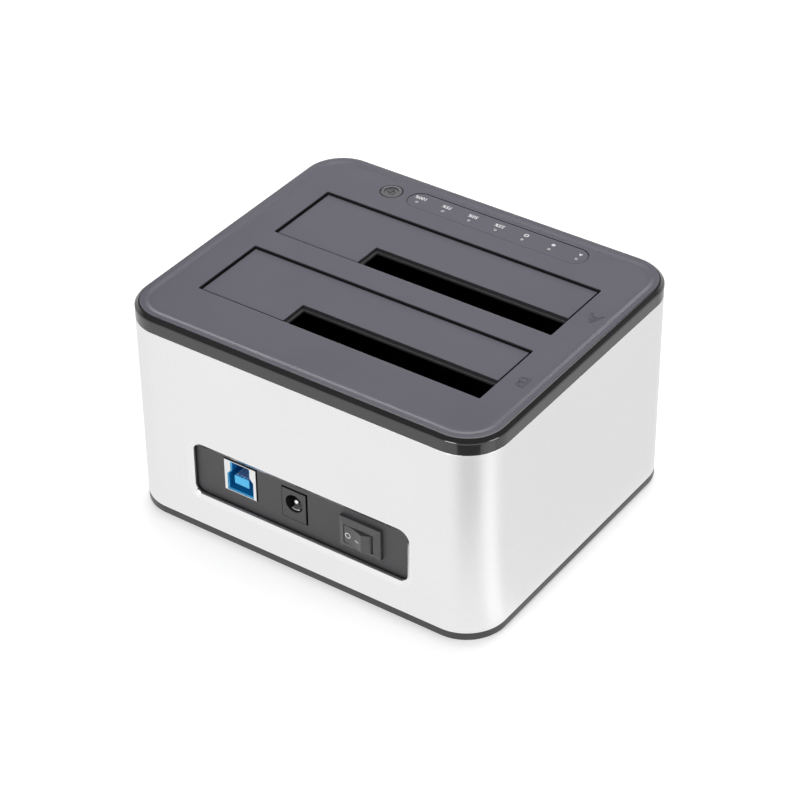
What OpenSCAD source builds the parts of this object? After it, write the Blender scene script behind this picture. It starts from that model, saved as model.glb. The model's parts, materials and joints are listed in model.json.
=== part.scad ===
// Two-bay hard drive docking station.
// Origin at the middle of the footprint, on the surface that it stands on.
// X runs along the drive bays, +Y is the side with the sockets, +Z is up.

/* [Body] */
// Width of the case along the drive bays
body_w = 133; // [132:0.5:170]
// Depth of the case from the lamp side to the socket side
body_d = 112.2; // [112:0.2:145]
// Radius of the upright corners in plan
corner_r = 14; // [12:0.5:18]
// Height of the metal sleeve
sleeve_h = 66.5; // [62:0.5:85]
// Wall of the metal sleeve
sleeve_t = 1.6; // [1.4:0.1:2.4]
// Height of the visible edge of the base
base_band_h = 3; // [2.6:0.1:4]
// Thickness of the base floor
floor_t = 2.2; // [1.8:0.1:2.5]
// How far the rubber feet stand out below the base
foot_h = 0.8; // [0.6:0.1:1.5]
// Radius of a rubber foot
foot_r = 5; // [3.5:0.1:6]

/* [Top cover] */
// Height of the cover above the sleeve
cover_h = 5.3; // [4.8:0.1:8]
// Chamfer round the top of the cover
cover_chamfer = 1.3; // [0.6:0.1:1.8]
// Width of the flat lip inside the chamfer
lip_w = 2.8; // [1:0.05:3.2]
// Width of the slope from the lip down to the panel
slope_run = 0.6; // [0.3:0.05:1.5]
// How far the panel lies below the lip
panel_drop = 0.3; // [0.1:0.05:0.8]
// Thickness of the panel
panel_t = 2; // [1.8:0.1:2.4]

/* [Drive bays] */
// Length of a drive bay, for a drive 101.6 mm wide
bay_l = 103.2; // [102.4:0.1:105]
// Depth of a drive bay, for a drive 26.1 mm thick
bay_d = 28.9; // [28.4:0.1:29.6]
// Bar of panel between the two bays
bay_gap = 9.8; // [9:0.1:11]
// Middle of the pair of bays, towards the sockets
bays_y = 0.55; // [-0.5:0.05:1]
// Length of the notch for a drive 69.85 mm wide
notch_l = 70.6; // [70.2:0.1:74]
// Depth of the notch for a drive 9.5 mm thick
notch_d = 10.2; // [9.8:0.1:13]
// Wall of a drive well
well_t = 1.6; // [1.2:0.1:2]

/* [Flaps] */
// Thickness of a flap
flap_t = 2; // [1.6:0.1:2.4]
// Gap round a flap
flap_gap = 0.85; // [0.4:0.05:1]
// How far a flap lies below the panel
flap_drop = 0.6; // [0.3:0.05:0.9]
// Width of the ledge along the notch in a flap
ledge_w = 0.9; // [0.4:0.1:1.2]
// How far the ledge lies below the top of the flap
ledge_drop = 1.1; // [0.8:0.1:1.2]
// Radius of a hinge pin
pin_r = 0.75; // [0.6:0.05:0.9]

/* [Sockets] */
// Width of the cut-out at the inside of the sleeve
cut_w = 80.1; // [78:0.1:94]
// Height of the cut-out at the inside of the sleeve
cut_h = 18.5; // [16:0.1:22]
// Corner radius of the cut-out
cut_r = 2.7; // [1.5:0.1:5]
// Width of the bevel round the cut-out
cut_bevel = 1.6; // [0.6:0.1:2]
// Depth of the bevel round the cut-out
cut_bevel_d = 0.85; // [0.4:0.05:1.3]
// Height of the middle of the cut-out above the ground
cut_z = 24.4; // [23:0.1:26]
// Dark gap between the sleeve and the face of the socket panel
panel_gap = 0.9; // [0.4:0.05:1.2]
// Place of the data socket along X
usb_x = 23.3; // [21.4:0.1:28]
// Width of the data socket's shell
usb_w = 12.1; // [11:0.1:13]
// Height of the data socket's shell
usb_h = 11.6; // [11.4:0.1:12.5]
// Place of the power socket along X
dc_x = 2.9; // [-2:0.1:6]
// Radius of the power socket's hole
dc_hole_r = 3.15; // [2.8:0.05:3.6]
// Radius of the power socket's centre pin
dc_pin_r = 1.05; // [0.8:0.05:1.25]
// Place of the rocker switch along X
switch_x = -22.65; // [-26:0.05:-18]
// Length of the switch's bezel
bezel_w = 15.1; // [14.6:0.1:17]
// Height of the switch's bezel
bezel_h = 11; // [10.4:0.1:13]
// Angle of the rocker to each side of its middle
rocker_tilt = 12.5; // [8:0.5:15]

/* [Indicators] */
// Place of the clone button along X
button_x = 34.5; // [33:0.1:35]
// Radius of the clone button
button_r = 3.6; // [3:0.1:4]
// Travel of the clone button
button_travel = 0.5; // [0.3:0.05:0.6]
// Length of the indicator inlay
inlay_l = 66.6; // [64:0.1:68]
// Width of the indicator inlay
inlay_w = 8.6; // [8:0.1:9.4]
// Distance from one lamp to the next
lamp_pitch = 10; // [8:0.1:10]
// Radius of a lamp's light pipe
pipe_r = 0.6; // [0.4:0.05:0.8]

/* [Hidden] */
$fn = 48;
eps = 0.05;

// Levels
base_z = foot_h;
floor_z = base_z + floor_t;
band_z = base_z + base_band_h;
sleeve_z = band_z + sleeve_h;
lip_z = sleeve_z + cover_h;
panel_z = lip_z - panel_drop;
under_z = panel_z - panel_t;
flap_z = panel_z - flap_drop;

// Base and fasteners
base_chamfer = 0.6;
skirt_gap = 0.3;
skirt_t = 1.8;
skirt_h = 4.2;
foot_gap = 0.1;
foot_seat = 0.8;
foot_in = 17.5;
post_r = 3.5;
post_gap = 0.6;
post_z = floor_z + 6;
boss_r = 3.6;
rib_t = 1.9;
rib_gap = 0.1;
case_screw_r = 1.45;
case_head_r = 2.9;
case_head_h = 1.4;
case_thread_l = 10;
thread_spare = 0.5;
screw_play = 0.15;
thread_play = 0.02;
head_gap = 0.3;
small_screw_r = 1.2;
small_head_r = 2.4;
small_head_h = 1.5;

// Inside of the sleeve, and the corner post's place on the diagonal of a corner
in_w = body_w - 2 * sleeve_t;
in_d = body_d - 2 * sleeve_t;
in_r = corner_r - sleeve_t;
post_in = (in_r - post_r - post_gap) / sqrt(2);
post_x = in_w / 2 - in_r + post_in;
post_y = in_d / 2 - in_r + post_in;
foot_x = body_w / 2 - foot_in;
foot_y = body_d / 2 - foot_in;
rim_in = cover_chamfer + lip_w + slope_run;
skirt_out = sleeve_t + skirt_gap;

// Bays, wells and hinges. A side of 1 is the socket side, and -1 the lamp side.
SIDES = [1, -1];
function bay_y(side) = bays_y + side * (bay_d + bay_gap) / 2;
function near_y(side) = bay_y(side) + bay_d / 2;
function far_y(side) = bay_y(side) - bay_d / 2;
well_side_gap = 0.2;
well_far_gap = 0.4;
well_in_l = bay_l + 2 * well_side_gap;
well_out_l = well_in_l + 2 * well_t;
hinge_set = 1.2;
function hinge_y(side) = far_y(side) - hinge_set;
knuckle_wall = 0.65;
knuckle_r = pin_r + knuckle_wall;
knuckle_w = 7;
knuckle_reach = 3.4;
knuckle_top_gap = 0.4;
knuckle_room = 0.8;
hinge_z = under_z - knuckle_r - knuckle_top_gap;
hinge_room = under_z - hinge_z + knuckle_reach + knuckle_room;
pin_play = 0.05;
pin_hold = 0.02;
pin_end_in = 1.5;
pin_l = bay_l - 2 * pin_end_in;
lug_wall = 0.85;
lug_r = pin_r + lug_wall;
lug_w = 3;
lug_in = 0.6;
lug_step = 0.2;
lug_out = lug_r - lug_step;
flap_l = bay_l - 2 * flap_gap;
lug_spread = [-1, -0.6, 0, 0.6, 1];
lug_xs = [for (k = lug_spread) k * (pin_l - lug_w) / 2];
knuckle_gap = 0.5;
knuckle_outer = lug_xs[4] - (lug_w + knuckle_w) / 2 - knuckle_gap;
knuckle_inner = (lug_xs[2] + lug_xs[3]) / 2;
knuckle_xs = [-knuckle_outer, -knuckle_inner, knuckle_inner, knuckle_outer];
spring_play = 0.2;
spring_wire = 0.4;
spring_hole_r = pin_r + spring_play;
spring_r = spring_hole_r + spring_wire;
spring_l = 7;
spring_gap = 0.2;
spring_leg_r = 0.15;
spring_leg_in = 0.5;
ear_l = 6.4;
ear_w = 8;
ear_t = 2;
ear_drop = 2;
ear_boss_r = 3;
ear_x = well_out_l / 2 + ear_l / 2;

// Main board, with the drive sockets on it
board_t = 1.6;
board_below = 5.5;
board_top = cut_z - board_below;
board_z = board_top - board_t;
board_w = 104;
board_gap = 0.6;
panel_face = body_d / 2 - sleeve_t - panel_gap;
socket_panel_t = 2;
socket_panel_side = 4;
socket_panel_rise = 5;
socket_panel_w = cut_w + 2 * socket_panel_side;
socket_panel_top = cut_z + cut_h / 2 + socket_panel_rise;
panel_sunk = 1;
panel_back = panel_face - socket_panel_t;
board_rear = panel_back - board_gap;
board_front_out = 9.75;
board_front = far_y(-1) - board_front_out;
board_screw_in = 5;
board_screw_x = board_w / 2 - board_screw_in;
board_screw_ys = [board_rear - board_screw_in, board_front + board_screw_in];
standoff_r = 3;
well_rise = 1.6;
well_z = board_top + well_rise;
sata_l = 43.6;
sata_d = 5.8;
sata_h = 8.4;
sata_in_x = 31;
sata_in_y = 5;
sata_x = -bay_l / 2 + sata_in_x;
function sata_y(side) = near_y(side) - sata_in_y;
sata_play = 0.6;
sata_pitch = 1.27;
sata_slot_d = 2.2;
sata_slot_h = 6.2;
signal_pins = 7;
power_pins = 15;
signal_x = -13.6;
power_x = 7.2;
contact_w = 0.7;
contact_t = 0.4;
contact_h = 5.6;

// Data socket
usb_above = 1.2;
usb_z = cut_z + usb_above;
usb_proud = 0.2;
usb_len = 15;
usb_t = 0.4;
usb_play = 0.1;
usb_top_gap = 0.5;
usb_face = panel_face + usb_proud;
usb_low_w = 9.2;
usb_low_h = 5.6;
usb_slope = 1.5;
usb_top_w = 6.6;
usb_top_h = 3.1;
usb_open_z = -5.1;
usb_liner = 0.35;
usb_back = 3;
liner_play = 0.02;
tongue_w = 5.6;
tongue_h = 3.2;
tongue_in = 0.8;
tongue_z = -1.3;
bar_w = 5;
bar_h = 1.5;
bar_in = 2.4;
usb_pin_w = 0.8;
usb_pin_t = 0.2;
usb_pin_pitch = 1.25;
usb_pins = 4;
usb_pin_in = 0.6;

// Power socket
dc_w = 9;
dc_h = 11;
dc_len = 14;
dc_hole_z = 6.1;
dc_hole_l = 9.5;
dc_pin_in = 0.8;
dc_play = 0.1;
dc_top_gap = 0.7;
dc_leaf_t = 0.3;
dc_leaf_gap = 0.3;
dc_leaf_l = 8.7;
dc_leaf_angle = 66;
dc_leaf_from = 60;

// Rocker switch. Its pivot stands upright, behind the rim of the bezel.
switch_below = 0.2;
switch_z = cut_z - switch_below;
bezel_edge = 1.3;
bezel_rise = 2.2;
bezel_lip = 0.3;
house_w = 14.6;
house_h = 8.4;
house_len = 11;
house_back = 1.5;
switch_play = 0.1;
rocker_play = 0.15;
rocker_hole_w = 10.6;
rocker_hole_h = 6.9;
rocker_h = rocker_hole_h - 2 * rocker_play;
rocker_sag = 0.45;
undercut = 1.7;
undercut_z = 1.5;
hip_z = 2;
heel_z = 4.2;
pivot_depth = 6.2;
pivot_y = panel_face + bezel_rise - pivot_depth;
pivot_r = 1;
pivot_play = 0.05;
pivot_l = 0.6;
// Corners of the rocker's off side when it is pressed in, from the pivot
rocker_tip = [rocker_hole_w / 2 - rocker_play, pivot_depth];
rocker_hip = [rocker_hole_w / 2 + undercut - rocker_play, pivot_depth - hip_z];
rocker_heel = [rocker_hip[0], pivot_depth - heel_z];
rocker_foot = [2.6, -1.6];
blade_w = 3.6;
blade_t = 0.8;
blade_l = 4;
blade_pitch = 6;
lead_r = 0.7;
lead_in = 1.3;

// Indicator board with its lamps, light pipes, inlay and button
inlay_x = -5.5;
inlay_in = 11;
inlay_y = -body_d / 2 + inlay_in;
inlay_t = 0.6;
inlay_gap = 0.2;
lamp_count = 7;
lamp_x = -5.9;
lamp_off = 1.25;
lamp_y = inlay_y + lamp_off;
function lamp_at(i) = lamp_x + (i - (lamp_count - 1) / 2) * lamp_pitch;
pipe_play = 0.1;
pipe_bar_w = 3;
pipe_bar_h = 1.5;
lamp_gap = 0.3;
lamp_w = 1.6;
lamp_d = 0.8;
lamp_h = 0.7;
tag_t = 1.2;
tag_drop = 5.3;
tag_top = under_z - tag_drop;
tag_w = 92;
tag_d = 9.5;
tag_screw_in = 3.5;
tag_screw_x = tag_w / 2 - tag_screw_in;
tag_boss_r = 2.6;
button_off = 0.5;
button_y = inlay_y + button_off;
button_play = 0.25;
button_rise = 0.1;
button_flange = 0.9;
button_flange_h = 0.7;
button_flange_gap = 0.4;
button_z = under_z - button_flange_gap - button_flange_h;
tact_w = 6;
tact_h = 3.5;
tact_hole_r = 1.8;
plunger_r = 1.7;
plunger_in = 0.5;
plunger_end = 0.2;

// Ribbon lead from the main board to the indicator board
ribbon_x = -20;
ribbon_w = 10;
ribbon_t = 0.6;
ribbon_plug_w = 13;
ribbon_plug_d = 3.4;
ribbon_plug_h = 3;
ribbon_low_in = 2.6;
ribbon_low_y = board_front + ribbon_low_in;
ribbon_high_off = 1;
ribbon_high_y = inlay_y - ribbon_high_off;
ribbon_straight = 8;

// Parts on the main board
chip_x = 25.8;
chip_w = 9;
chip_h = 1.1;
cap_r = 3.15;
cap_h = 8;
cap_side = 6;
cap_xs = [(usb_x - usb_w / 2 + dc_x + dc_w / 2) / 2,
          (dc_x - dc_w / 2 + switch_x + house_w / 2) / 2, usb_x + usb_w / 2 + cap_side];
coil_in = 10;
coil_w = 7;
coil_h = 4;
crystal_in = 3;
crystal_w = 5;
crystal_d = 3.2;
crystal_h = 1.2;
parts_behind = 7;
parts_y = near_y(1) + parts_behind;

// A plate with four round upright corners, standing on Z = 0
module rounded_block(w, d, h, r) {
    translate([-w / 2 + r, -d / 2, 0]) cube([w - 2 * r, d, h]);
    translate([-w / 2, -d / 2 + r, 0]) cube([w, d - 2 * r, h]);
    for (x = [-1, 1], y = [-1, 1])
        translate([x * (w / 2 - r), y * (d / 2 - r), 0]) cylinder(h = h, r = r);
}

// The same plate, growing outwards all round towards its top
module flared_block(w, d, h, r, out) {
    for (turn = [[w, d, 0], [d, w, 90]])
        rotate(turn[2]) translate([-turn[0] / 2 + r, 0, 0]) rotate([90, 0, 90]) linear_extrude(turn[0] - 2 * r)
            polygon([[-turn[1] / 2, 0], [turn[1] / 2, 0], [turn[1] / 2 + out, h], [-turn[1] / 2 - out, h]]);
    for (x = [-1, 1], y = [-1, 1])
        translate([x * (w / 2 - r), y * (d / 2 - r), 0]) cylinder(h = h, r1 = r, r2 = r + out);
}

// The profile below it, with X measured outwards from the outer face, swept round the case
module round_the_case() {
    for (k = [0 : 3]) {
        long = k % 2 == 0 ? body_w : body_d;
        wide = k % 2 == 0 ? body_d : body_w;
        rotate(90 * k) translate([long / 2, wide / 2 - corner_r, 0]) rotate([90, 0, 0])
            linear_extrude(wide - 2 * corner_r) children();
        rotate(90 * k) translate([long / 2 - corner_r, wide / 2 - corner_r, 0])
            rotate_extrude(angle = 90) translate([corner_r, 0]) children();
    }
}

// A ring of wall inside the sleeve, from one level to another
module skirt(from_z, to_z) {
    round_the_case()
        translate([-skirt_out - skirt_t, from_z]) square([skirt_t, to_z - from_z]);
}

// A box given by its two opposite corners
module box(low, high) {
    translate(low) cube(high - low);
}

// A cylinder along X, centred at a place
module rod_x(place, r, l) {
    translate(place) rotate([0, 90, 0]) cylinder(h = l, r = r, center = true);
}

// A cylinder that starts at a place and runs towards -Y
module rod_in(place, r, l) {
    translate(place) rotate([90, 0, 0]) cylinder(h = l, r = r);
}

// What follows it, at the four corner posts
module at_posts() {
    for (x = [-1, 1], y = [-1, 1]) translate([x * post_x, y * post_y, 0]) children();
}

// What follows it, at the four screws of the main board
module at_board_screws() {
    for (x = [-1, 1], y = board_screw_ys) translate([x * board_screw_x, y, 0]) children();
}

// What follows it, at the screws of both drive wells
module at_well_screws() {
    for (x = [-1, 1], side = SIDES) translate([x * ear_x, bay_y(side), 0]) children();
}

// What follows it, at the screws of the indicator board
module at_tag_screws() {
    for (x = [-1, 1]) translate([x * tag_screw_x, inlay_y, 0]) children();
}

// A bar with round ends, standing on Z = 0
module stadium(l, w, h) {
    translate([-l / 2 + w / 2, -w / 2, 0]) cube([l - w, w, h]);
    for (x = [-1, 1]) translate([x * (l - w) / 2, 0, 0]) cylinder(h = h, r = w / 2);
}

// A pan-head screw whose head rests on Z = 0 and whose thread runs up
module screw_up(r, l, head_r, head_h) {
    translate([0, 0, -head_h]) cylinder(h = head_h, r = head_r);
    translate([0, 0, -eps]) cylinder(h = l + eps, r = r);
}

// Black tray with the visible edge, the standoffs, and seats for the feet and screws
module base() {
    color("#2b2b2d") difference() {
        union() {
            round_the_case() polygon([[-base_chamfer, base_z], [0, base_z + base_chamfer], [0, band_z],
                [-skirt_out - skirt_t, band_z], [-skirt_out - skirt_t, base_z]]);
            translate([0, 0, base_z]) rounded_block(body_w - 2 * (skirt_out + skirt_t),
                body_d - 2 * (skirt_out + skirt_t), floor_t, corner_r - skirt_out - skirt_t);
            skirt(band_z - eps, band_z + skirt_h);
            at_posts() translate([0, 0, base_z]) cylinder(h = post_z - base_z, r = boss_r);
            at_board_screws() translate([0, 0, floor_z - eps])
                cylinder(h = board_z - floor_z + eps, r = standoff_r);
            box([-cut_w / 2, panel_back - rib_gap - rib_t, floor_z - eps],
                [cut_w / 2, panel_back - rib_gap, post_z]);
        }
        box([-socket_panel_w / 2 - skirt_gap, panel_back - eps, floor_z],
            [socket_panel_w / 2 + skirt_gap, body_d / 2 - sleeve_t, band_z + skirt_h + eps]);
        at_posts() translate([0, 0, base_z - eps]) {
            cylinder(h = case_head_h + head_gap + eps, r = case_head_r + head_gap);
            cylinder(h = post_z, r = case_screw_r + screw_play);
        }
        at_board_screws() translate([0, 0, floor_z]) cylinder(h = board_z, r = small_screw_r + thread_play);
        for (x = [-1, 1], y = [-1, 1]) translate([x * foot_x, y * foot_y, base_z - eps])
            cylinder(h = foot_seat + eps, r = foot_r + foot_gap);
    }
}

// Round-cornered metal tube with the bevelled cut-out for the sockets
module sleeve() {
    color("#d9dadd") difference() {
        round_the_case() translate([-sleeve_t, band_z]) square([sleeve_t, sleeve_h]);
        translate([0, body_d / 2 + eps, cut_z]) rotate([90, 0, 0])
            rounded_block(cut_w, cut_h, sleeve_t + 2 * eps, cut_r);
        translate([0, body_d / 2 - cut_bevel_d, cut_z]) rotate([-90, 0, 0])
            flared_block(cut_w, cut_h, cut_bevel_d + eps, cut_r, cut_bevel * (1 + eps / cut_bevel_d));
    }
}

// Lid with the two bays, the hinge lugs, and the posts that take the case screws
module top_cover() {
    color("#3c3c40") difference() {
        union() {
            round_the_case() polygon([[0, sleeve_z], [0, lip_z - cover_chamfer], [-cover_chamfer, lip_z],
                [-cover_chamfer - lip_w, lip_z], [-rim_in, panel_z], [-rim_in, sleeve_z]]);
            translate([0, 0, under_z]) rounded_block(body_w - 2 * rim_in, body_d - 2 * rim_in,
                panel_t, corner_r - rim_in);
            skirt(sleeve_z - skirt_h, under_z + eps);
            at_posts() translate([0, 0, post_z]) cylinder(h = under_z - post_z + eps, r = post_r);
            for (side = SIDES, x = lug_xs) hinge_lug(side, x);
            at_well_screws() translate([0, 0, under_z - ear_drop])
                cylinder(h = ear_drop + eps, r = ear_boss_r);
            at_tag_screws() translate([0, 0, tag_top]) cylinder(h = under_z - tag_top + eps, r = tag_boss_r);
        }
        for (side = SIDES) {
            box([-bay_l / 2, far_y(side), under_z - eps], [bay_l / 2, near_y(side), lip_z]);
            rod_x([0, hinge_y(side), hinge_z], pin_r + pin_hold, pin_l + 2 * lug_w);
        }
        translate([inlay_x, inlay_y, panel_z - inlay_t])
            stadium(inlay_l + 2 * inlay_gap, inlay_w + 2 * inlay_gap, inlay_t + eps);
        for (i = [0 : lamp_count - 1]) translate([lamp_at(i), lamp_y, under_z - eps])
            cylinder(h = panel_t + eps, r = pipe_r + pipe_play);
        translate([button_x, button_y, under_z - eps])
            cylinder(h = panel_t + 2 * eps, r = button_r + button_play);
        at_posts() translate([0, 0, post_z - eps])
            cylinder(h = case_thread_l + eps, r = case_screw_r + thread_play);
        at_well_screws() translate([0, 0, under_z - ear_drop - eps])
            cylinder(h = ear_drop + panel_t / 2, r = small_screw_r + thread_play);
        at_tag_screws() translate([0, 0, tag_top - eps])
            cylinder(h = under_z - tag_top, r = small_screw_r + thread_play);
    }
}

// Lug under the panel that holds a hinge pin
module hinge_lug(side, x) {
    rod_x([x, hinge_y(side), hinge_z], lug_r, lug_w);
    box([x - lug_w / 2, hinge_y(side) - lug_out, hinge_z],
        [x + lug_w / 2, hinge_y(side) + lug_in, under_z + eps]);
}

// Plate behind the cut-out, seated against the sleeve and sunk where it shows
module socket_panel() {
    color("#4a494b") difference() {
        box([-socket_panel_w / 2, panel_back, floor_z],
            [socket_panel_w / 2, body_d / 2 - sleeve_t, socket_panel_top]);
        translate([0, body_d / 2, cut_z]) rotate([90, 0, 0])
            rounded_block(cut_w + 2 * panel_sunk, cut_h + 2 * panel_sunk, body_d / 2 - panel_face,
                cut_r + panel_sunk);
        box([usb_x - usb_w / 2 - usb_top_gap, panel_back - eps, usb_z - usb_h / 2 - usb_play],
            [usb_x + usb_w / 2 + usb_play, body_d / 2, usb_z + usb_h / 2 + usb_top_gap]);
        box([dc_x - dc_w / 2 - dc_top_gap, panel_back - eps, board_top - dc_play],
            [dc_x + dc_w / 2 + dc_play, body_d / 2, board_top + dc_h + dc_top_gap]);
        box([switch_x - house_w / 2 - switch_play, panel_back - eps, switch_z - house_h / 2 - switch_play],
            [switch_x + house_w / 2 + switch_play, body_d / 2, switch_z + house_h / 2 + switch_play]);
    }
}

// Tube with a floor that guides a drive down to its socket, screwed under the panel by two ears
module drive_well(side) {
    near_in = near_y(side) + well_side_gap;
    far_in = far_y(side) - well_far_gap;
    color("#1f1f21") difference() {
        union() {
            box([-well_out_l / 2, far_in - well_t, well_z], [well_out_l / 2, near_in + well_t, under_z]);
            for (x = [-1, 1]) translate([x * (ear_x - eps), bay_y(side), under_z - ear_drop - ear_t / 2])
                cube([ear_l, ear_w, ear_t], center = true);
        }
        box([-well_in_l / 2, far_in, well_z + well_t], [well_in_l / 2, near_in, under_z + eps]);
        box([-well_in_l / 2, far_in - well_t - eps, under_z - hinge_room],
            [well_in_l / 2, far_in + eps, under_z + eps]);
        translate([sata_x, sata_y(side), well_z + well_t / 2])
            cube([sata_l + 2 * sata_play, sata_d + 2 * sata_play, 2 * well_t], center = true);
        for (x = [-1, 1]) translate([x * ear_x, bay_y(side), under_z - ear_drop - ear_t - eps])
            cylinder(h = ear_t + 2 * eps, r = small_screw_r + screw_play);
    }
}

// L-shaped flap with a ledge along its notch and the knuckles that turn on its hinge pin
module flap(side) {
    low = flap_z - flap_t;
    color("#47474b") difference() {
        union() {
            difference() {
                box([-flap_l / 2, far_y(side) + flap_gap, low],
                    [flap_l / 2, near_y(side) - flap_gap, flap_z]);
                box([-bay_l / 2, near_y(side) - notch_d, low - eps],
                    [-bay_l / 2 + notch_l, near_y(side), flap_z + eps]);
                box([-bay_l / 2, near_y(side) - notch_d - ledge_w, flap_z - ledge_drop],
                    [-bay_l / 2 + notch_l + ledge_w, near_y(side), flap_z + eps]);
            }
            for (x = knuckle_xs) {
                rod_x([x, hinge_y(side), hinge_z], knuckle_r, knuckle_w);
                box([x - knuckle_w / 2, hinge_y(side), hinge_z - knuckle_r / 2],
                    [x + knuckle_w / 2, hinge_y(side) + knuckle_reach, low + eps]);
            }
        }
        rod_x([0, hinge_y(side), hinge_z], pin_r + pin_play, bay_l);
    }
}

// Steel pin that a flap turns on
module hinge_pin(side) {
    color("#b9bbbe") rod_x([0, hinge_y(side), hinge_z], pin_r, pin_l);
}

// Coil round a hinge pin that shuts its flap, with the leg that bears on the panel
module flap_spring(side) {
    x = (knuckle_xs[2] + knuckle_w / 2 + lug_xs[3] - lug_w / 2) / 2;
    wire_y = hinge_y(side) - (spring_r + spring_hole_r) / 2;
    color("#c4c6c8") difference() {
        union() {
            rod_x([x, hinge_y(side), hinge_z], spring_r, spring_l);
            translate([x - spring_l / 2 + spring_leg_in, wire_y, hinge_z])
                cylinder(h = under_z - hinge_z - spring_gap, r = spring_leg_r);
        }
        rod_x([x, hinge_y(side), hinge_z], spring_hole_r, spring_l + 2 * eps);
    }
}

// Green circuit board on the four standoffs
module main_board() {
    color("#1d5a38") difference() {
        box([-board_w / 2, board_front, board_z], [board_w / 2, board_rear, board_top]);
        at_board_screws() translate([0, 0, board_z - eps])
            cylinder(h = board_t + 2 * eps, r = small_screw_r + screw_play);
    }
}

// Upright socket that a drive plugs onto, with a slot for data and a slot for power
module sata_socket(side) {
    color("#151516") translate([sata_x, sata_y(side), board_top]) difference() {
        translate([0, 0, sata_h / 2]) cube([sata_l, sata_d, sata_h], center = true);
        for (slot = [[signal_x, signal_pins], [power_x, power_pins]])
            translate([slot[0], 0, sata_h - sata_slot_h / 2 + eps])
                cube([(slot[1] + 1) * sata_pitch, sata_slot_d, sata_slot_h + 2 * eps], center = true);
    }
}

// Gilt contacts along one wall of both slots of a drive socket
module sata_contacts(side) {
    color("#d8b45a") translate([sata_x, sata_y(side), board_top + sata_h - sata_slot_h])
        for (slot = [[signal_x, signal_pins], [power_x, power_pins]], i = [0 : slot[1] - 1])
            translate([slot[0] + (i - (slot[1] - 1) / 2) * sata_pitch - contact_w / 2, -sata_slot_d / 2, 0])
                cube([contact_w, contact_t, contact_h]);
}

// Bridge controller under the lamp-side well
module bridge_chip() {
    color("#222224") translate([chip_x, bay_y(-1), board_top + chip_h / 2])
        cube([chip_w, chip_w, chip_h], center = true);
}

// Upright electrolytic capacitor
module capacitor(i) {
    color("#9fa3a8") translate([cap_xs[i], parts_y, board_top]) cylinder(h = cap_h, r = cap_r);
}

// Shielded power inductor
module inductor() {
    color("#3a3a3c") translate([-board_screw_x + coil_in, parts_y, board_top + coil_h / 2])
        cube([coil_w, coil_w, coil_h], center = true);
}

// Crystal in a flat metal can
module crystal() {
    color("#c2c4c6") translate([0, board_front + crystal_in, board_top + crystal_h / 2])
        cube([crystal_w, crystal_d, crystal_h], center = true);
}

// Outline of the data socket's mouth, seen from outside: wide below, sloped, narrow on top
module usb_mouth(grow) {
    low = usb_open_z - grow;
    mid = usb_open_z + usb_low_h;
    top = mid + usb_slope;
    half = usb_low_w / 2 + grow;
    neck = usb_top_w / 2 + grow;
    polygon([[-half, low], [half, low], [half, mid], [neck, top], [neck, top + usb_top_h + grow],
        [-neck, top + usb_top_h + grow], [-neck, top], [-half, mid]]);
}

// The mouth's outline cut to a length from the face of the data socket
module usb_prism(grow, from_in, l) {
    translate([usb_x, usb_face - from_in, usb_z]) rotate([90, 0, 0]) linear_extrude(l) usb_mouth(grow);
}

// Plated shell of the data socket
module usb_shell() {
    color("#cfd1d4") difference() {
        box([usb_x - usb_w / 2, usb_face - usb_len, usb_z - usb_h / 2],
            [usb_x + usb_w / 2, usb_face, usb_z + usb_h / 2]);
        usb_prism(usb_liner + liner_play, -eps, usb_len + 2 * eps);
    }
}

// Blue insulator: the lining of the mouth, its back, the tongue, and the bar above it
module usb_insulator() {
    color("#1b6fc0") {
        difference() {
            usb_prism(usb_liner, usb_t, usb_len - usb_t);
            usb_prism(0, usb_t - eps, usb_len - usb_t - usb_back);
        }
        translate([usb_x - tongue_w / 2, usb_face - usb_len + usb_back - eps,
            usb_z + tongue_z - tongue_h / 2])
            cube([tongue_w, usb_len - usb_back - tongue_in, tongue_h]);
        translate([usb_x - bar_w / 2, usb_face - usb_len + usb_back - eps,
            usb_z + usb_open_z + usb_low_h + usb_slope + usb_top_h - bar_h])
            cube([bar_w, usb_len - usb_back - bar_in, bar_h + eps]);
    }
}

// Gilt contacts on top of the tongue
module usb_contacts() {
    color("#d8b45a") for (i = [0 : usb_pins - 1])
        translate([usb_x + (i - (usb_pins - 1) / 2) * usb_pin_pitch - usb_pin_w / 2,
            usb_face - usb_len + usb_back, usb_z + tongue_z + tongue_h / 2])
            cube([usb_pin_w, usb_len - usb_back - tongue_in - usb_pin_in, usb_pin_t]);
}

// Black block of the power socket with its round hole
module dc_jack() {
    color("#2a2a2b") difference() {
        box([dc_x - dc_w / 2, panel_face - dc_len, board_top],
            [dc_x + dc_w / 2, panel_face, board_top + dc_h]);
        rod_in([dc_x, panel_face + eps, board_top + dc_hole_z], dc_hole_r, dc_hole_l + eps);
    }
}

// Centre pin of the power socket, with a rounded end
module dc_pin() {
    tip_y = panel_face - dc_pin_in;
    color("#d6d8da") {
        rod_in([dc_x, tip_y - dc_pin_r, board_top + dc_hole_z], dc_pin_r,
            dc_hole_l - dc_pin_in - dc_pin_r);
        translate([dc_x, tip_y - dc_pin_r, board_top + dc_hole_z]) sphere(r = dc_pin_r);
    }
}

// Curved leaf that touches the outside of the power plug
module dc_contact() {
    out_r = dc_hole_r - dc_leaf_gap;
    color("#c9cbcd") translate([dc_x, panel_face - dc_hole_l, board_top + dc_hole_z])
        rotate([-90, 0, 0]) rotate(dc_leaf_from) rotate_extrude(angle = dc_leaf_angle)
            translate([out_r - dc_leaf_t, 0]) square([dc_leaf_t, dc_leaf_l]);
}

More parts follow.
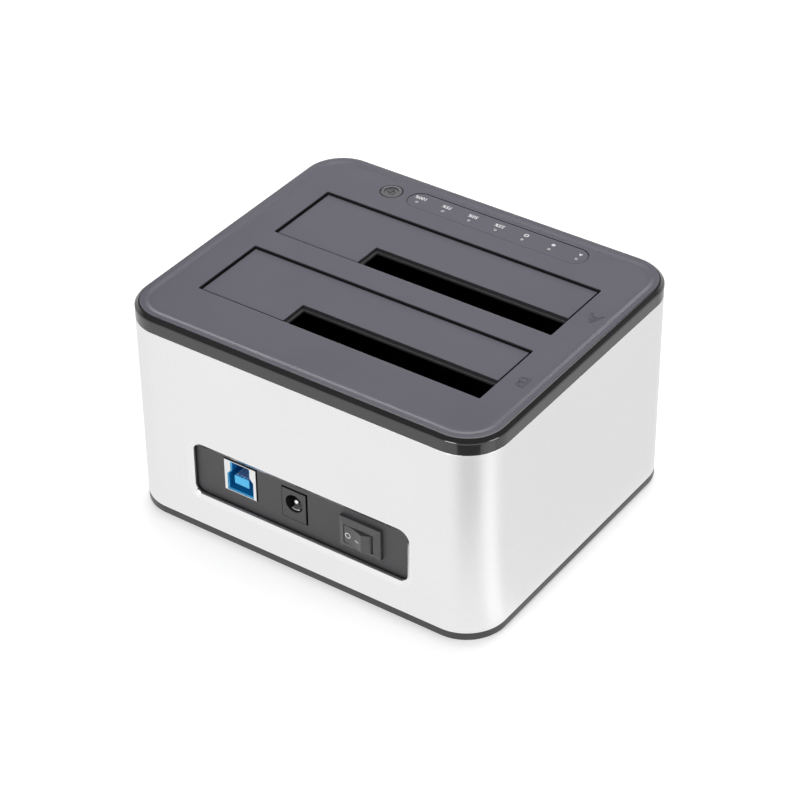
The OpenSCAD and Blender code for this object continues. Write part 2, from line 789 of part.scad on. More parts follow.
// Switch housing with the sloped bezel on the face of the socket panel
module switch_body() {
    color("#3a393b") translate([switch_x, panel_face, switch_z]) difference() {
        union() {
            box([-house_w / 2, -house_len, -house_h / 2], [house_w / 2, eps, house_h / 2]);
            intersection() {
                bezel_slope(bezel_w, rocker_hole_w + 2 * bezel_lip, bezel_h);
                rotate([0, 90, 0]) bezel_slope(bezel_h, rocker_hole_h + 2 * bezel_lip, bezel_w);
            }
        }
        translate([0, bezel_rise, 0]) linear_extrude(rocker_hole_h, center = true) rocker_hole();
        translate([0, pivot_y - panel_face, 0])
            cylinder(h = house_h + 2 * eps, r = pivot_r + pivot_play, center = true);
    }
}

// Outline of the rocker's hole from the rim of the bezel inwards, wider below the rim
module rocker_hole() {
    half = rocker_hole_w / 2;
    deep = house_len + bezel_rise - house_back;
    polygon([[-half, eps], [half, eps], [half + undercut, -undercut_z], [half + undercut, -deep],
        [-half - undercut, -deep], [-half - undercut, -undercut_z]]);
}

// Prism with straight edges that slopes up to the rim of the bezel
module bezel_slope(w, rim_w, l) {
    linear_extrude(l, center = true) polygon([[-w / 2, 0], [w / 2, 0], [w / 2, bezel_edge],
        [rim_w / 2, bezel_rise], [-rim_w / 2, bezel_rise], [-w / 2, bezel_edge]]);
}

// A point turned about the pivot
function turned(p, a) = [p[0] * cos(a) - p[1] * sin(a), p[0] * sin(a) + p[1] * cos(a)];

// Rocker with a hollow face, pressed in at its off side
module switch_rocker() {
    tip = turned(rocker_tip, rocker_tilt);
    right = [tip, turned(rocker_hip, rocker_tilt), turned(rocker_heel, rocker_tilt), rocker_foot];
    left = [for (i = [3 : -1 : 0]) [-right[i][0], right[i][1]]];
    hollow_r = (tip[0] * tip[0] + rocker_sag * rocker_sag) / (2 * rocker_sag);
    color("#434244") translate([switch_x, pivot_y, switch_z]) rotate(-rocker_tilt) {
        difference() {
            linear_extrude(rocker_h, center = true) polygon(concat(right, left));
            translate([0, tip[1] - rocker_sag + hollow_r, 0])
                cylinder(h = rocker_h + 2 * eps, r = hollow_r, center = true);
        }
        cylinder(h = rocker_h + 2 * pivot_l, r = pivot_r, center = true);
    }
}

// Two tinned blades at the back of the switch
module switch_terminals() {
    color("#cdbb8a") for (k = [-1, 1])
        translate([switch_x + k * blade_pitch / 2 - blade_w / 2, panel_face - house_len - blade_l,
            switch_z - blade_t / 2])
            cube([blade_w, blade_l, blade_t]);
}

// Leads from the blades down to the main board
module switch_leads() {
    color("#8c1d1d") for (k = [-1, 1])
        translate([switch_x + k * blade_pitch / 2, panel_face - house_len - blade_l + lead_in, board_top])
            cylinder(h = switch_z - blade_t / 2 - board_top, r = lead_r);
}

// Round push button with the flange that keeps it under the panel
module clone_button() {
    color("#4b4b4f") translate([button_x, button_y, 0]) {
        translate([0, 0, button_z]) cylinder(h = button_flange_h, r = button_r + button_flange);
        translate([0, 0, button_z]) cylinder(h = panel_z + button_rise - button_z, r = button_r);
    }
}

// Plunger of the tact switch, which goes down with the button
module tact_plunger() {
    color("#d9d3c4") translate([button_x, button_y, tag_top + tact_h - plunger_in])
        cylinder(h = button_z - tag_top - tact_h + plunger_in, r = plunger_r);
}

// Tact switch under the button
module tact_switch() {
    depth = plunger_in + button_travel + plunger_end;
    color("#2c2c2e") translate([button_x, button_y, tag_top]) difference() {
        translate([0, 0, tact_h / 2]) cube([tact_w, tact_w, tact_h], center = true);
        translate([0, 0, tact_h - depth]) cylinder(h = depth + eps, r = tact_hole_r);
    }
}

// Narrow board that carries the lamps and the tact switch
module indicator_board() {
    color("#1d5a38") difference() {
        translate([0, inlay_y, tag_top - tag_t / 2]) cube([tag_w, tag_d, tag_t], center = true);
        at_tag_screws() translate([0, 0, tag_top - tag_t - eps])
            cylinder(h = tag_t + 2 * eps, r = small_screw_r + screw_play);
    }
}

// Thin bar with round ends, let into the panel round the lamps
module indicator_inlay() {
    color("#454549") difference() {
        translate([inlay_x, inlay_y, panel_z - inlay_t]) stadium(inlay_l, inlay_w, inlay_t);
        for (i = [0 : lamp_count - 1]) translate([lamp_at(i), lamp_y, panel_z - inlay_t - eps])
            cylinder(h = inlay_t + 2 * eps, r = pipe_r + pipe_play);
    }
}

// Clear moulding with one light pipe for each lamp
module light_pipe() {
    bar_l = (lamp_count - 1) * lamp_pitch + pipe_bar_w;
    color("#e6e8ea") {
        translate([lamp_x, lamp_y, under_z - pipe_bar_h]) stadium(bar_l, pipe_bar_w, pipe_bar_h);
        for (i = [0 : lamp_count - 1]) translate([lamp_at(i), lamp_y, tag_top + lamp_h + lamp_gap])
            cylinder(h = panel_z - tag_top - lamp_h - lamp_gap, r = pipe_r);
    }
}

// Lamps on the indicator board
module status_lamps() {
    color("#f2efd8") for (i = [0 : lamp_count - 1])
        translate([lamp_at(i), lamp_y, tag_top + lamp_h / 2]) cube([lamp_w, lamp_d, lamp_h], center = true);
}

// Flat lead, upright at both ends and slanted between them
module ribbon_lead() {
    z0 = board_top + ribbon_plug_h;
    z1 = tag_top - tag_t - ribbon_plug_h;
    half = ribbon_t / 2;
    y0 = ribbon_low_y;
    y1 = ribbon_high_y;
    color("#b8b9bb") translate([ribbon_x - ribbon_w / 2, 0, 0]) rotate([90, 0, 90]) linear_extrude(ribbon_w)
        polygon([[y0 - half, z0], [y0 + half, z0], [y0 + half, z0 + ribbon_straight],
            [y1 + half, z1 - ribbon_straight], [y1 + half, z1], [y1 - half, z1],
            [y1 - half, z1 - ribbon_straight], [y0 - half, z0 + ribbon_straight]]);
}

// Plug of the flat lead
module ribbon_plug(y, z) {
    color("#e4e2da") translate([ribbon_x - ribbon_plug_w / 2, y - ribbon_plug_d / 2, z])
        cube([ribbon_plug_w, ribbon_plug_d, ribbon_plug_h]);
}

// Rubber foot in its seat under the base
module foot(x, y) {
    color("#1a1a1b") translate([x * foot_x, y * foot_y, 0]) cylinder(h = foot_h + foot_seat, r = foot_r);
}

// Screws that clamp the sleeve between the base and the cover
module case_screws() {
    color("#8e9194") at_posts() translate([0, 0, base_z + case_head_h + head_gap])
        screw_up(case_screw_r, post_z + case_thread_l - thread_spare - base_z - case_head_h - head_gap,
            case_head_r, case_head_h);
}

// Screws that hold the main board down
module board_screws() {
    color("#8e9194") at_board_screws() translate([0, 0, board_top]) mirror([0, 0, 1])
        screw_up(small_screw_r, board_top - floor_z - thread_spare, small_head_r, small_head_h);
}

// Screws that hold the drive wells up
module well_screws() {
    color("#8e9194") at_well_screws() translate([0, 0, under_z - ear_drop - ear_t])
        screw_up(small_screw_r, ear_t + ear_drop + panel_t / 2 - thread_spare, small_head_r, small_head_h);
}

// Screws that hold the indicator board up
module indicator_screws() {
    color("#8e9194") at_tag_screws() translate([0, 0, tag_top - tag_t])
        screw_up(small_screw_r, tag_t + under_z - tag_top - thread_spare, small_head_r, small_head_h);
}

base();
sleeve();
top_cover();
socket_panel();
drive_well(1);  // drive_well_rear
drive_well(-1);  // drive_well_front
flap(1);  // flap_rear
flap(-1);  // flap_front
hinge_pin(1);  // hinge_pin_rear
hinge_pin(-1);  // hinge_pin_front
flap_spring(1);  // flap_spring_rear
flap_spring(-1);  // flap_spring_front
main_board();
sata_socket(1);  // sata_socket_rear
sata_socket(-1);  // sata_socket_front
sata_contacts(1);  // sata_contacts_rear
sata_contacts(-1);  // sata_contacts_front
bridge_chip();
capacitor(0);  // capacitor_1
capacitor(1);  // capacitor_2
capacitor(2);  // capacitor_3
inductor();
crystal();
usb_shell();
usb_insulator();
usb_contacts();
dc_jack();
dc_pin();
dc_contact();
switch_body();
switch_rocker();
switch_terminals();
switch_leads();
clone_button();
tact_plunger();
tact_switch();
indicator_board();
indicator_inlay();
light_pipe();
status_lamps();
ribbon_lead();
ribbon_plug(ribbon_low_y, board_top);  // ribbon_plug_low
ribbon_plug(ribbon_high_y, tag_top - tag_t - ribbon_plug_h);  // ribbon_plug_high
foot(1, 1);  // foot_1
foot(-1, 1);  // foot_2
foot(-1, -1);  // foot_3
foot(1, -1);  // foot_4
case_screws();
board_screws();
well_screws();
indicator_screws();
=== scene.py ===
"""Looks of a two-bay hard drive dock: softened shells, printed marks, finishes, light and camera."""

import json
import math

import bmesh
import bpy
from mathutils import Matrix, Vector
from mathutils.geometry import interpolate_bezier


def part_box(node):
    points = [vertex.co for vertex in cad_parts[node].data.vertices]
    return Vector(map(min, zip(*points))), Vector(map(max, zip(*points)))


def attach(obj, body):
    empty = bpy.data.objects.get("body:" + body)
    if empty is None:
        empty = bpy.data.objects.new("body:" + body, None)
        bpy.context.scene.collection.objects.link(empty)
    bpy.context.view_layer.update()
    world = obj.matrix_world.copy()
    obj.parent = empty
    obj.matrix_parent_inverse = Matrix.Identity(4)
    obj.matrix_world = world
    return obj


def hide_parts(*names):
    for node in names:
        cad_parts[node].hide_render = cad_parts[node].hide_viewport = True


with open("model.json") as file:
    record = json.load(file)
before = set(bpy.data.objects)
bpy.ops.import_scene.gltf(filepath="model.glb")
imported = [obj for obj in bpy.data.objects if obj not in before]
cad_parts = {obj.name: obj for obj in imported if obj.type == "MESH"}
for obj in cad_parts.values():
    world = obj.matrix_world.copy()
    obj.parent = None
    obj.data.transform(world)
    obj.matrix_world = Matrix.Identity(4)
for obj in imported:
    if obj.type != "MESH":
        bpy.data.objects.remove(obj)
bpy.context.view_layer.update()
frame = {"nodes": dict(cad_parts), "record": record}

# Meshes are shaped in millimetres and brought to metres when a piece is finished
MM = 0.001


def cad_box(node):
    """Lowest and highest corner of a CAD node, in millimetres."""
    low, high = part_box(node)
    return low / MM, high / MM


# Sizes read from the frame
SLEEVE_LOW, SLEEVE_HIGH = cad_box("sleeve")
BODY_W = SLEEVE_HIGH.x - SLEEVE_LOW.x
BODY_D = SLEEVE_HIGH.y - SLEEVE_LOW.y
BAND_Z = SLEEVE_LOW.z
SLEEVE_Z = SLEEVE_HIGH.z
BASE_Z = cad_box("base")[0].z
LIP_Z = cad_box("top_cover")[1].z
INLAY_LOW, INLAY_HIGH = cad_box("indicator_inlay")
PANEL_Z = INLAY_HIGH.z
BUTTON_LOW, BUTTON_HIGH = cad_box("clone_button")
BUTTON_AT = ((BUTTON_LOW.x + BUTTON_HIGH.x) / 2, (BUTTON_LOW.y + BUTTON_HIGH.y) / 2)
LAMP_LOW, LAMP_HIGH = cad_box("status_lamps")
SCREWS_LOW, SCREWS_HIGH = cad_box("case_screws")
JOINTS = {joint["name"]: joint for joint in frame["record"]["behaviour"]["joints"]}

# Case
CORNER_R = 14.0
CORNER_STEPS = 24
SLEEVE_WALL = 1.6
BASE_CHAMFER = 0.6
HEAD_R = 2.9
HEAD_H = 1.4
THREAD_R = 1.45
POST_X = SCREWS_HIGH.x - HEAD_R
POST_Y = SCREWS_HIGH.y - HEAD_R
COUNTERBORE_R = 3.2
COUNTERBORE_H = 1.7
FOOT_SEAT_R = 5.1
FOOT_SEAT_H = 0.8
FEET = ("foot_1", "foot_2", "foot_3", "foot_4")
BASE_ROUND = 0.3
POCKET_EDGE = 0.15
SLEEVE_EDGE = 0.2

# Case screws: radius and height along the head's edge; arm, half width and depth of the cross recess
HEAD_EDGE = ((2.3, 0), (2.7, 0.2), (HEAD_R, 0.6), (HEAD_R, HEAD_H))
RECESS = ((1.5, 0.35, 0), (0.9, 0.25, 1.0))
SCREW_TIP_H = 0.6
SCREW_TIP_IN = 0.5
SCREW_STEPS = 32
SCREW_CORNERS = ((-1, -1), (-1, 1), (1, -1), (1, 1))

# Bevelled cut-out for the sockets
CUT_W = 80.1
CUT_H = 18.5
CUT_R = 2.7
CUT_Z = 24.4
CUT_BEVEL = 1.6
CUT_BEVEL_D = 0.85
CUT_ROUND = 0.5
CUT_MARGIN = 0.5

# Top cover
COVER_CHAMFER = 1.3
LIP_W = 2.0
SLOPE_W = 1.4
RIM_IN = COVER_CHAMFER + LIP_W + SLOPE_W
RIM_ROUND = 0.8
PANEL_T = 2.0
UNDER_Z = PANEL_Z - PANEL_T
SKIRT_OUT = 1.9
SKIRT_IN = 3.7
SKIRT_LOW = SLEEVE_Z - 4.2
SLOPE_ROUND = 0.4
PANEL_MARGIN = 1.0
MOUTH_MARGIN = 0.4
HOLE_EDGE = 0.15

# Bays and flaps
BAY_L = 103.2
BAY_D = 28.9
BAY_CORNER = 0.35
BAY_EDGE = 0.2
NOTCH_L = 70.6
NOTCH_D = 10.2
FLAP_GAP = 0.85
FLAP_T = 2.0
FLAP_D = BAY_D - 2 * FLAP_GAP
LEDGE_W = 0.9
LEDGE_DROP = 1.1
LEDGE_OVERLAP = 0.1
FLAP_ROUND = 0.14
FLAPS = {"flap_rear": "rear_flap", "flap_front": "front_flap"}
KNUCKLE_R = 1.4
KNUCKLE_W = 7.0
KNUCKLE_XS = (-43.1, -14.6, 14.6, 43.1)
KNUCKLE_ARM = 3.4

# Button, inlay and lamps
BUTTON_R = 3.6
BUTTON_GAP = 0.25
BUTTON_DISH_R = 2.45
BUTTON_DISH = 0.25
BUTTON_ROUND = 0.3
BUTTON_STEPS = 64
FLANGE_H = 0.7
DISH_WALL = 0.25
DISH_MIDDLE_R = 1.0
INLAY_GAP = 0.22
INLAY_BACK = 0.12
INLAY_EDGE = 0.06
INLAY_END_GAP = 0.01
LAMP_COUNT = 7
LAMP_R = 0.6
LAMP_HALF = 0.8
LAMP_GAP = 0.1
LAMP_STEPS = 24
LAMP_STEP = (LAMP_HIGH.x - LAMP_LOW.x - 2 * LAMP_HALF) / (LAMP_COUNT - 1)
LAMP_XS = [LAMP_LOW.x + LAMP_HALF + i * LAMP_STEP for i in range(LAMP_COUNT)]
LAMP_Y = (LAMP_LOW.y + LAMP_HIGH.y) / 2
# Radius and height above the panel along a lamp window
WINDOW_PROFILE = ((LAMP_R, -0.1), (LAMP_R, 0.01), (0.5, 0.06), (0.3, 0.09), (0.1, 0.1))

# Printed marks, and the engraved bay letters, drawn as dark outlines of painted shade
PRINT_T = 0.03
PRINT_WELD = 0.0002
LABELS = ("25%", "50%", "75%", "100%")
LABEL_Y = LAMP_Y - 2.75
LABEL_SIZE = 2.1
LABEL_BOLD = 0.05
# Signs by the lamps: outer and inner radius of the ring, then the dot and the triangle
RING_SIGN = (0.85, 0.45)
DOT_R = 0.65
POINTER_R = 0.8
BAY_LETTERS = {"A": -19.0, "B": 20.4}
BAY_LETTER_X = -57.6
BAY_LETTER_SIZE = 6.9
BAY_LETTER_LINE = 0.09
BAY_LETTER_DROP = 0.03
# Sign in the button's dish: middles, size and corner of its sheets, and twice their line's width
SHEETS_AT = ((-0.5, 0.4), (0.5, -0.4))
SHEET_W = 2.1
SHEET_H = 2.2
SHEET_R = 0.4
SHEET_LINE = 0.85

# Rocker, measured from its pivot
ROCKER_PIVOT = Vector(JOINTS["rocker_tilt"]["pos_m"]) / MM
ROCKER_TILT = math.radians(12.5)
ROCKER_MIDDLE = 6.718
ROCKER_HOLLOW_R = 15.32
OFF_SIGN_AT = (2.35, -0.2)
ON_SIGN_AT = (-1.5, -0.45)
# Outer and inner radius of the circle; width, height and corner of the dash
OFF_SIGN = (1.02, 0.75)
ON_SIGN = (1.75, 0.3, 0.05)

# Edges rounded off on copies of CAD nodes
PANEL_SOFT = 0.1
SHELL_SOFT = 0.12
SOCKET_SOFT = 0.15
ROCKER_SOFT = 0.2
FOOT_SOFT = 0.3

# Camera, in metres, with its lens and sensor in millimetres
CAMERA_PLACE = Vector((-0.3960, 0.5632, 0.5338))
CAMERA_AXES = ((-0.82157, -0.57002, -0.00977), (0.32885, -0.48783, 0.80863), (-0.4657, 0.66113, 0.58824))
CAMERA_LENS = 121.63
SENSOR_W = 36.0
CLIP_START = 0.01

# Floor, in metres: its glow for the camera rises from near to far, and in a reflection it is plain
FLOOR_HALF = 6.0
PAPER_SHADE = 0.8
PAPER_ROUGH = 0.9
FLOOR_SEEN = 0.48
FLOOR_SEEN_FAR = 1.0
FLOOR_MIRRORED = 1.0
FLOOR_NEAR = 0.3
FLOOR_FAR = 0.9

# Brightness of the world at the horizon and higher up, and the heights between which it falls
HORIZON = 1.03
ROOM = 0.12
HORIZON_LOW = 0.22
HORIZON_HIGH = 0.42

# Glowing cards on the floor, seen only in reflections, that paint light and shade into the reflections of
# the metal and the gloss: corners and brightness
CARD_Z = 0.0003
CARDS = {
    # The near, side and far cards are dimmer than the floor, painted shade in reflections, the far one
    # darkest; the bright card is a painted highlight
    "near_dim_reflection": (((-0.068, 0.092), (-0.078, 0.139), (-0.138, 0.094), (-0.095, 0.072)), 0.88),
    "far_dark_reflection": (((-0.074, 0.138), (-0.075, 0.180), (-0.190, 0.098), (-0.140, 0.090)), 0.08),
    "bright_reflection": (((-0.072, 0.048), (-0.300, 0.125), (-0.300, 0.012), (-0.071, 0.036)), 1.2),
    "side_dim_reflection": (((-0.070, 0.030), (-0.450, 0.000), (-0.450, -0.600), (-0.070, -0.500)), 0.9),
}

# Lamps: place, aim, width, height and watts
SOFTBOXES = {
    "softbox_top": ((0.1, -0.35, 1.0), (0, 0, 0.05), 0.9, 0.9, 7),
    "softbox_front": ((0.02, 1.07, 0.45), (0, 0, 0.05), 0.44, 0.3, 5),
    "softbox_right": ((-1.05, -0.03, 0.35), (0, 0, 0.05), 0.4, 0.55, 3.2),
    "strip_back": ((0.52, -0.9, 0.32), (0, 0, 0.07), 0.7, 0.14, 1.5),
}

# Mesh tolerances, in millimetres and degrees, and how far a normal has to point out or up
COPY_WELD = 0.001
PIECE_WELD = 0.0005
SAME_PLANE = 0.01
FLAT_WITHIN = 1
FACING_OUT = 0.7
FACING_UP = 0.5

# Share of the way to a corner that makes a Bezier curve nearly an arc
ARC_PULL = 0.55

# Grain and handling: scales, ranges of noise that count, and shares in height, colour and roughness
COARSE_RATIO = 0.23
COARSE_SHARE = 0.6
STREAK_SCALE = 38.0
CLOUD_SCALE = 11.0
MOTTLE_RANGE = (0.3, 0.7)
SMUDGE_RANGE = (0.42, 0.68)
HAZE_RANGE = (0.35, 0.65)
MOTTLE_IN_COLOUR = 0.5
HAZE_IN_COLOUR = 0.5
SMUDGE_IN_ROUGH = 0.6
MOTTLE_IN_ROUGH = 0.4


# Mesh operators

def ring(bm, wide, deep, radius, z, at=(0, 0), steps=CORNER_STEPS):
    """Edges of a rectangle with round corners, level at z."""
    quad = bmesh.ops.create_grid(bm, x_segments=1, y_segments=1, size=0.5)["verts"]
    bmesh.ops.scale(bm, vec=(wide, deep, 1), verts=quad)
    bmesh.ops.translate(bm, vec=(at[0], at[1], z), verts=quad)
    made = bmesh.ops.bevel(bm, geom=quad, offset=radius, offset_type="ABSOLUTE", segments=steps,
                           profile=0.5, affect="VERTICES", material=-1)
    face = made["verts"][0].link_faces[0]
    edges = list(face.edges)
    bmesh.ops.delete(bm, geom=[face], context="FACES_ONLY")
    return edges


def case_ring(bm, inset, z):
    """Edges of the case's outline, moved inwards, level at z."""
    return ring(bm, BODY_W - 2 * inset, BODY_D - 2 * inset, CORNER_R - inset, z)


def circle(bm, radius, z, at=(0, 0), steps=40):
    """Edges of a circle, level at z."""
    place = Matrix.Translation((at[0], at[1], z))
    made = bmesh.ops.create_circle(bm, cap_ends=False, segments=steps, radius=radius, matrix=place)
    return list({edge for vert in made["verts"] for edge in vert.link_edges})


def stand(bm, edges):
    """Turn level edges upright, so that their z runs towards the inside of the socket wall."""
    verts = list({vert for edge in edges for vert in edge.verts})
    bmesh.ops.rotate(bm, cent=(0, 0, 0), matrix=Matrix.Rotation(math.pi / 2, 3, "X"), verts=verts)
    return edges


def wall_ring(bm, wide, high, radius, y, at=(0, 0), steps=12):
    """Edges of a rectangle with round corners that stands in the plane y, at (x, z)."""
    return stand(bm, ring(bm, wide, high, radius, -y, at, steps))


def loft(bm, rings, finish=0):
    """Walls from each ring to the next."""
    for first, second in zip(rings, rings[1:]):
        for face in bmesh.ops.bridge_loops(bm, edges=first + second)["faces"]:
            face.material_index = finish


def plate(bm, edges, finish=0):
    """Flat face inside the outer edges and outside the others."""
    for item in bmesh.ops.triangle_fill(bm, use_beauty=True, edges=edges)["geom"]:
        if isinstance(item, bmesh.types.BMFace):
            item.material_index = finish


def extrude(bm, faces, way):
    """Extrude faces into closed blocks."""
    made = bmesh.ops.extrude_face_region(bm, geom=faces, use_keep_orig=True)["geom"]
    bmesh.ops.translate(bm, vec=way, verts=[item for item in made if isinstance(item, bmesh.types.BMVert)])


def soften(bm, edges, width, steps=3):
    """Round off edges."""
    bmesh.ops.bevel(bm, geom=edges, offset=width, offset_type="OFFSET", segments=steps, profile=0.5,
                    affect="EDGES", material=-1)


def sharp_edges(bm, least=35):
    """Edges whose faces meet at more than an angle in degrees."""
    return [e for e in bm.edges if e.is_manifold and e.calc_face_angle() > math.radians(least)]


def rounded(corners, radius, steps=4):
    """Profile with its inner corners rounded off."""
    points = [Vector(corners[0])]
    for before, corner, after in zip(corners, corners[1:], corners[2:]):
        corner = Vector(corner)
        back = (Vector(before) - corner).normalized()
        on = (Vector(after) - corner).normalized()
        trim = radius / math.tan(back.angle(on) / 2)
        start = corner + back * trim
        end = corner + on * trim
        pulls = (start.lerp(corner, ARC_PULL), end.lerp(corner, ARC_PULL))
        points += interpolate_bezier(start, *pulls, end, steps + 1)
    return points + [Vector(corners[-1])]


def cross_ring(bm, arm, half, z, at):
    """Edges of a cross, level at z."""
    corners = [Matrix.Rotation(math.pi / 2 * turn, 3, "Z") @ Vector(corner)
               for turn in range(4) for corner in ((arm, -half, z), (arm, half, z), (half, half, z))]
    verts = [bm.verts.new(corner + Vector((*at, 0))) for corner in corners]
    return [bm.edges.new(pair) for pair in zip(verts, verts[1:] + verts[:1])]


def piece(name, bm, finishes, body="case", stands_for=(), sharp=40):
    """Object made from a mesh in millimetres, riding a body."""
    bmesh.ops.remove_doubles(bm, verts=bm.verts, dist=PIECE_WELD)
    bmesh.ops.recalc_face_normals(bm, faces=bm.faces)
    bmesh.ops.scale(bm, vec=(MM, MM, MM), verts=bm.verts)
    mesh = bpy.data.meshes.new(name)
    bm.to_mesh(mesh)
    bm.free()
    for surface in finishes:
        mesh.materials.append(surface)
    mesh.polygons.foreach_set("use_smooth", [True] * len(mesh.polygons))
    mesh.set_sharp_from_angle(angle=math.radians(sharp))
    made = bpy.data.objects.new(name, mesh)
    bpy.context.scene.collection.objects.link(made)
    even = made.modifiers.new("even_normals", "WEIGHTED_NORMAL")
    even.keep_sharp = True
    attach(made, body)
    if stands_for:
        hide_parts(*stands_for)
    return made


def softened(name, node, width, finishes, body="case", steps=2):
    """Copy of a CAD node with its sharp edges rounded off; a second finish goes where it doesn't face +Y."""
    bm = bmesh.new()
    bm.from_mesh(frame["nodes"][node].data)
    bmesh.ops.scale(bm, vec=(1 / MM, 1 / MM, 1 / MM), verts=bm.verts)
    bmesh.ops.remove_doubles(bm, verts=bm.verts, dist=COPY_WELD)
    bmesh.ops.dissolve_limit(bm, angle_limit=math.radians(FLAT_WITHIN), verts=bm.verts,
                            edges=bm.edges)
    soften(bm, sharp_edges(bm), width, steps)
    bm.normal_update()
    for face in bm.faces:
        face.material_index = 0 if len(finishes) == 1 or face.normal.y > FACING_OUT else 1
    return piece(name, bm, finishes, body, [node])


# Shader node groups

def new_group(name, inputs, outputs):
    """Empty shader node group with float inputs and outputs, and its two end nodes."""
    group = bpy.data.node_groups.new(name, "ShaderNodeTree")
    for label, value in inputs.items():
        socket = group.interface.new_socket(label, in_out="INPUT", socket_type="NodeSocketFloat")
        socket.default_value = value
    for label in outputs:
        group.interface.new_socket(label, in_out="OUTPUT", socket_type="NodeSocketFloat")
    return group, group.nodes.new("NodeGroupInput"), group.nodes.new("NodeGroupOutput")


def noise(tree, scale, detail=2.0, roughness=0.5):
    """Noise on the piece's own coordinates; scale is a number per metre or a socket."""
    place = tree.nodes.new("ShaderNodeTexCoord")
    made = tree.nodes.new("ShaderNodeTexNoise")
    made.inputs["Detail"].default_value = detail
    made.inputs["Roughness"].default_value = roughness
    tree.links.new(place.outputs["Object"], made.inputs["Vector"])
    if isinstance(scale, (int, float)):
        made.inputs["Scale"].default_value = scale
    else:
        tree.links.new(scale, made.inputs["Scale"])
    return made.outputs["Fac"]


def ranged(tree, value, low, high, new_low, new_high):
    """Value carried from one range to another, and kept inside it."""
    made = tree.nodes.new("ShaderNodeMapRange")
    for label, number in (("From Min", low), ("From Max", high), ("To Min", new_low), ("To Max", new_high)):
        made.inputs[label].default_value = number
    tree.links.new(value, made.inputs["Value"])
    return made.outputs["Result"]


def combined(tree, operation, first, second):
    """Two values put through one sum."""
    made = tree.nodes.new("ShaderNodeMath")
    made.operation = operation
    for socket, value in zip(made.inputs, (first, second)):
        if isinstance(value, (int, float)):
            socket.default_value = value
        else:
            tree.links.new(value, socket)
    return made.outputs[0]


def grain_group():
    """Spark-eroded or blasted grain: a height for bumps, and a mottle for colour and roughness."""
    group, given, result = new_group("surface_grain", {"Scale": 2500.0}, ["Height", "Mottle"])
    fine = noise(group, given.outputs["Scale"], detail=3.0, roughness=0.6)
    coarse = noise(group, combined(group, "MULTIPLY", given.outputs["Scale"], COARSE_RATIO), detail=1.0)
    height = combined(group, "ADD", fine, combined(group, "MULTIPLY", coarse, COARSE_SHARE))
    group.links.new(height, result.inputs["Height"])
    group.links.new(ranged(group, coarse, *MOTTLE_RANGE, 0.0, 1.0), result.inputs["Mottle"])
    return group


def handling_group():
    """Slow unevenness that hands, moulding flow and wiping leave on a surface."""
    group, _, result = new_group("handling", {}, ["Smudge", "Haze"])
    streaks = noise(group, STREAK_SCALE, detail=4.0, roughness=0.55)
    clouds = noise(group, CLOUD_SCALE, detail=2.0)
    group.links.new(ranged(group, streaks, *SMUDGE_RANGE, 0.0, 1.0), result.inputs["Smudge"])
    group.links.new(ranged(group, clouds, *HAZE_RANGE, 0.0, 1.0), result.inputs["Haze"])
    return group


GRAIN = grain_group()
HANDLING = handling_group()


def finish(name, dark, light, rough_low, rough_high, grain, depth, **constants):
    """Material whose colour and roughness vary with its grain and with handling."""
    made = bpy.data.materials.new(name)
    made.use_nodes = True
    tree = made.node_tree
    shader = tree.nodes["Principled BSDF"]
    for label, value in constants.items():
        shader.inputs[label.replace("_", " ").title().replace("Ior", "IOR")].default_value = value
    grains = tree.nodes.new("ShaderNodeGroup")
    grains.node_tree = GRAIN
    grains.inputs["Scale"].default_value = grain
    handled = tree.nodes.new("ShaderNodeGroup")
    handled.node_tree = HANDLING
    mixed = tree.nodes.new("ShaderNodeMix")
    mixed.data_type = "RGBA"
    mixed.inputs["A"].default_value = (*dark, 1)
    mixed.inputs["B"].default_value = (*light, 1)
    shade = combined(tree, "ADD", combined(tree, "MULTIPLY", grains.outputs["Mottle"], MOTTLE_IN_COLOUR),
                     combined(tree, "MULTIPLY", handled.outputs["Haze"], HAZE_IN_COLOUR))
    tree.links.new(shade, mixed.inputs["Factor"])
    tree.links.new(mixed.outputs["Result"], shader.inputs["Base Color"])
    worn = combined(tree, "ADD", combined(tree, "MULTIPLY", handled.outputs["Smudge"], SMUDGE_IN_ROUGH),
                    combined(tree, "MULTIPLY", grains.outputs["Mottle"], MOTTLE_IN_ROUGH))
    tree.links.new(ranged(tree, worn, 0.0, 1.0, rough_low, rough_high), shader.inputs["Roughness"])
    bump = tree.nodes.new("ShaderNodeBump")
    bump.inputs["Strength"].default_value = 1.0
    bump.inputs["Distance"].default_value = depth * MM
    tree.links.new(grains.outputs["Height"], bump.inputs["Height"])
    tree.links.new(bump.outputs["Normal"], shader.inputs["Normal"])
    return made


# Finishes: darkest and lightest colour, range of roughness, grain per metre, depth of its bumps in mm
SATIN_METAL = finish("satin_metal", (0.805, 0.8, 0.808), (0.845, 0.84, 0.848), 0.38, 0.46, 5200, 0.004,
                     metallic=1.0)
CUT_METAL = finish("cut_metal", (0.83, 0.825, 0.832), (0.86, 0.855, 0.862), 0.12, 0.18, 5200, 0.001,
                   metallic=1.0)
TOP_PLASTIC = finish("top_plastic", (0.082, 0.077, 0.105), (0.093, 0.088, 0.118), 0.5, 0.6, 4200, 0.012)
LIP_SATIN = finish("lip_satin", (0.08, 0.075, 0.102), (0.091, 0.086, 0.114), 0.34, 0.42, 4200, 0.006)
FLAP_PLASTIC = finish("flap_plastic", (0.082, 0.077, 0.103), (0.093, 0.088, 0.116), 0.5, 0.6, 4200, 0.012)
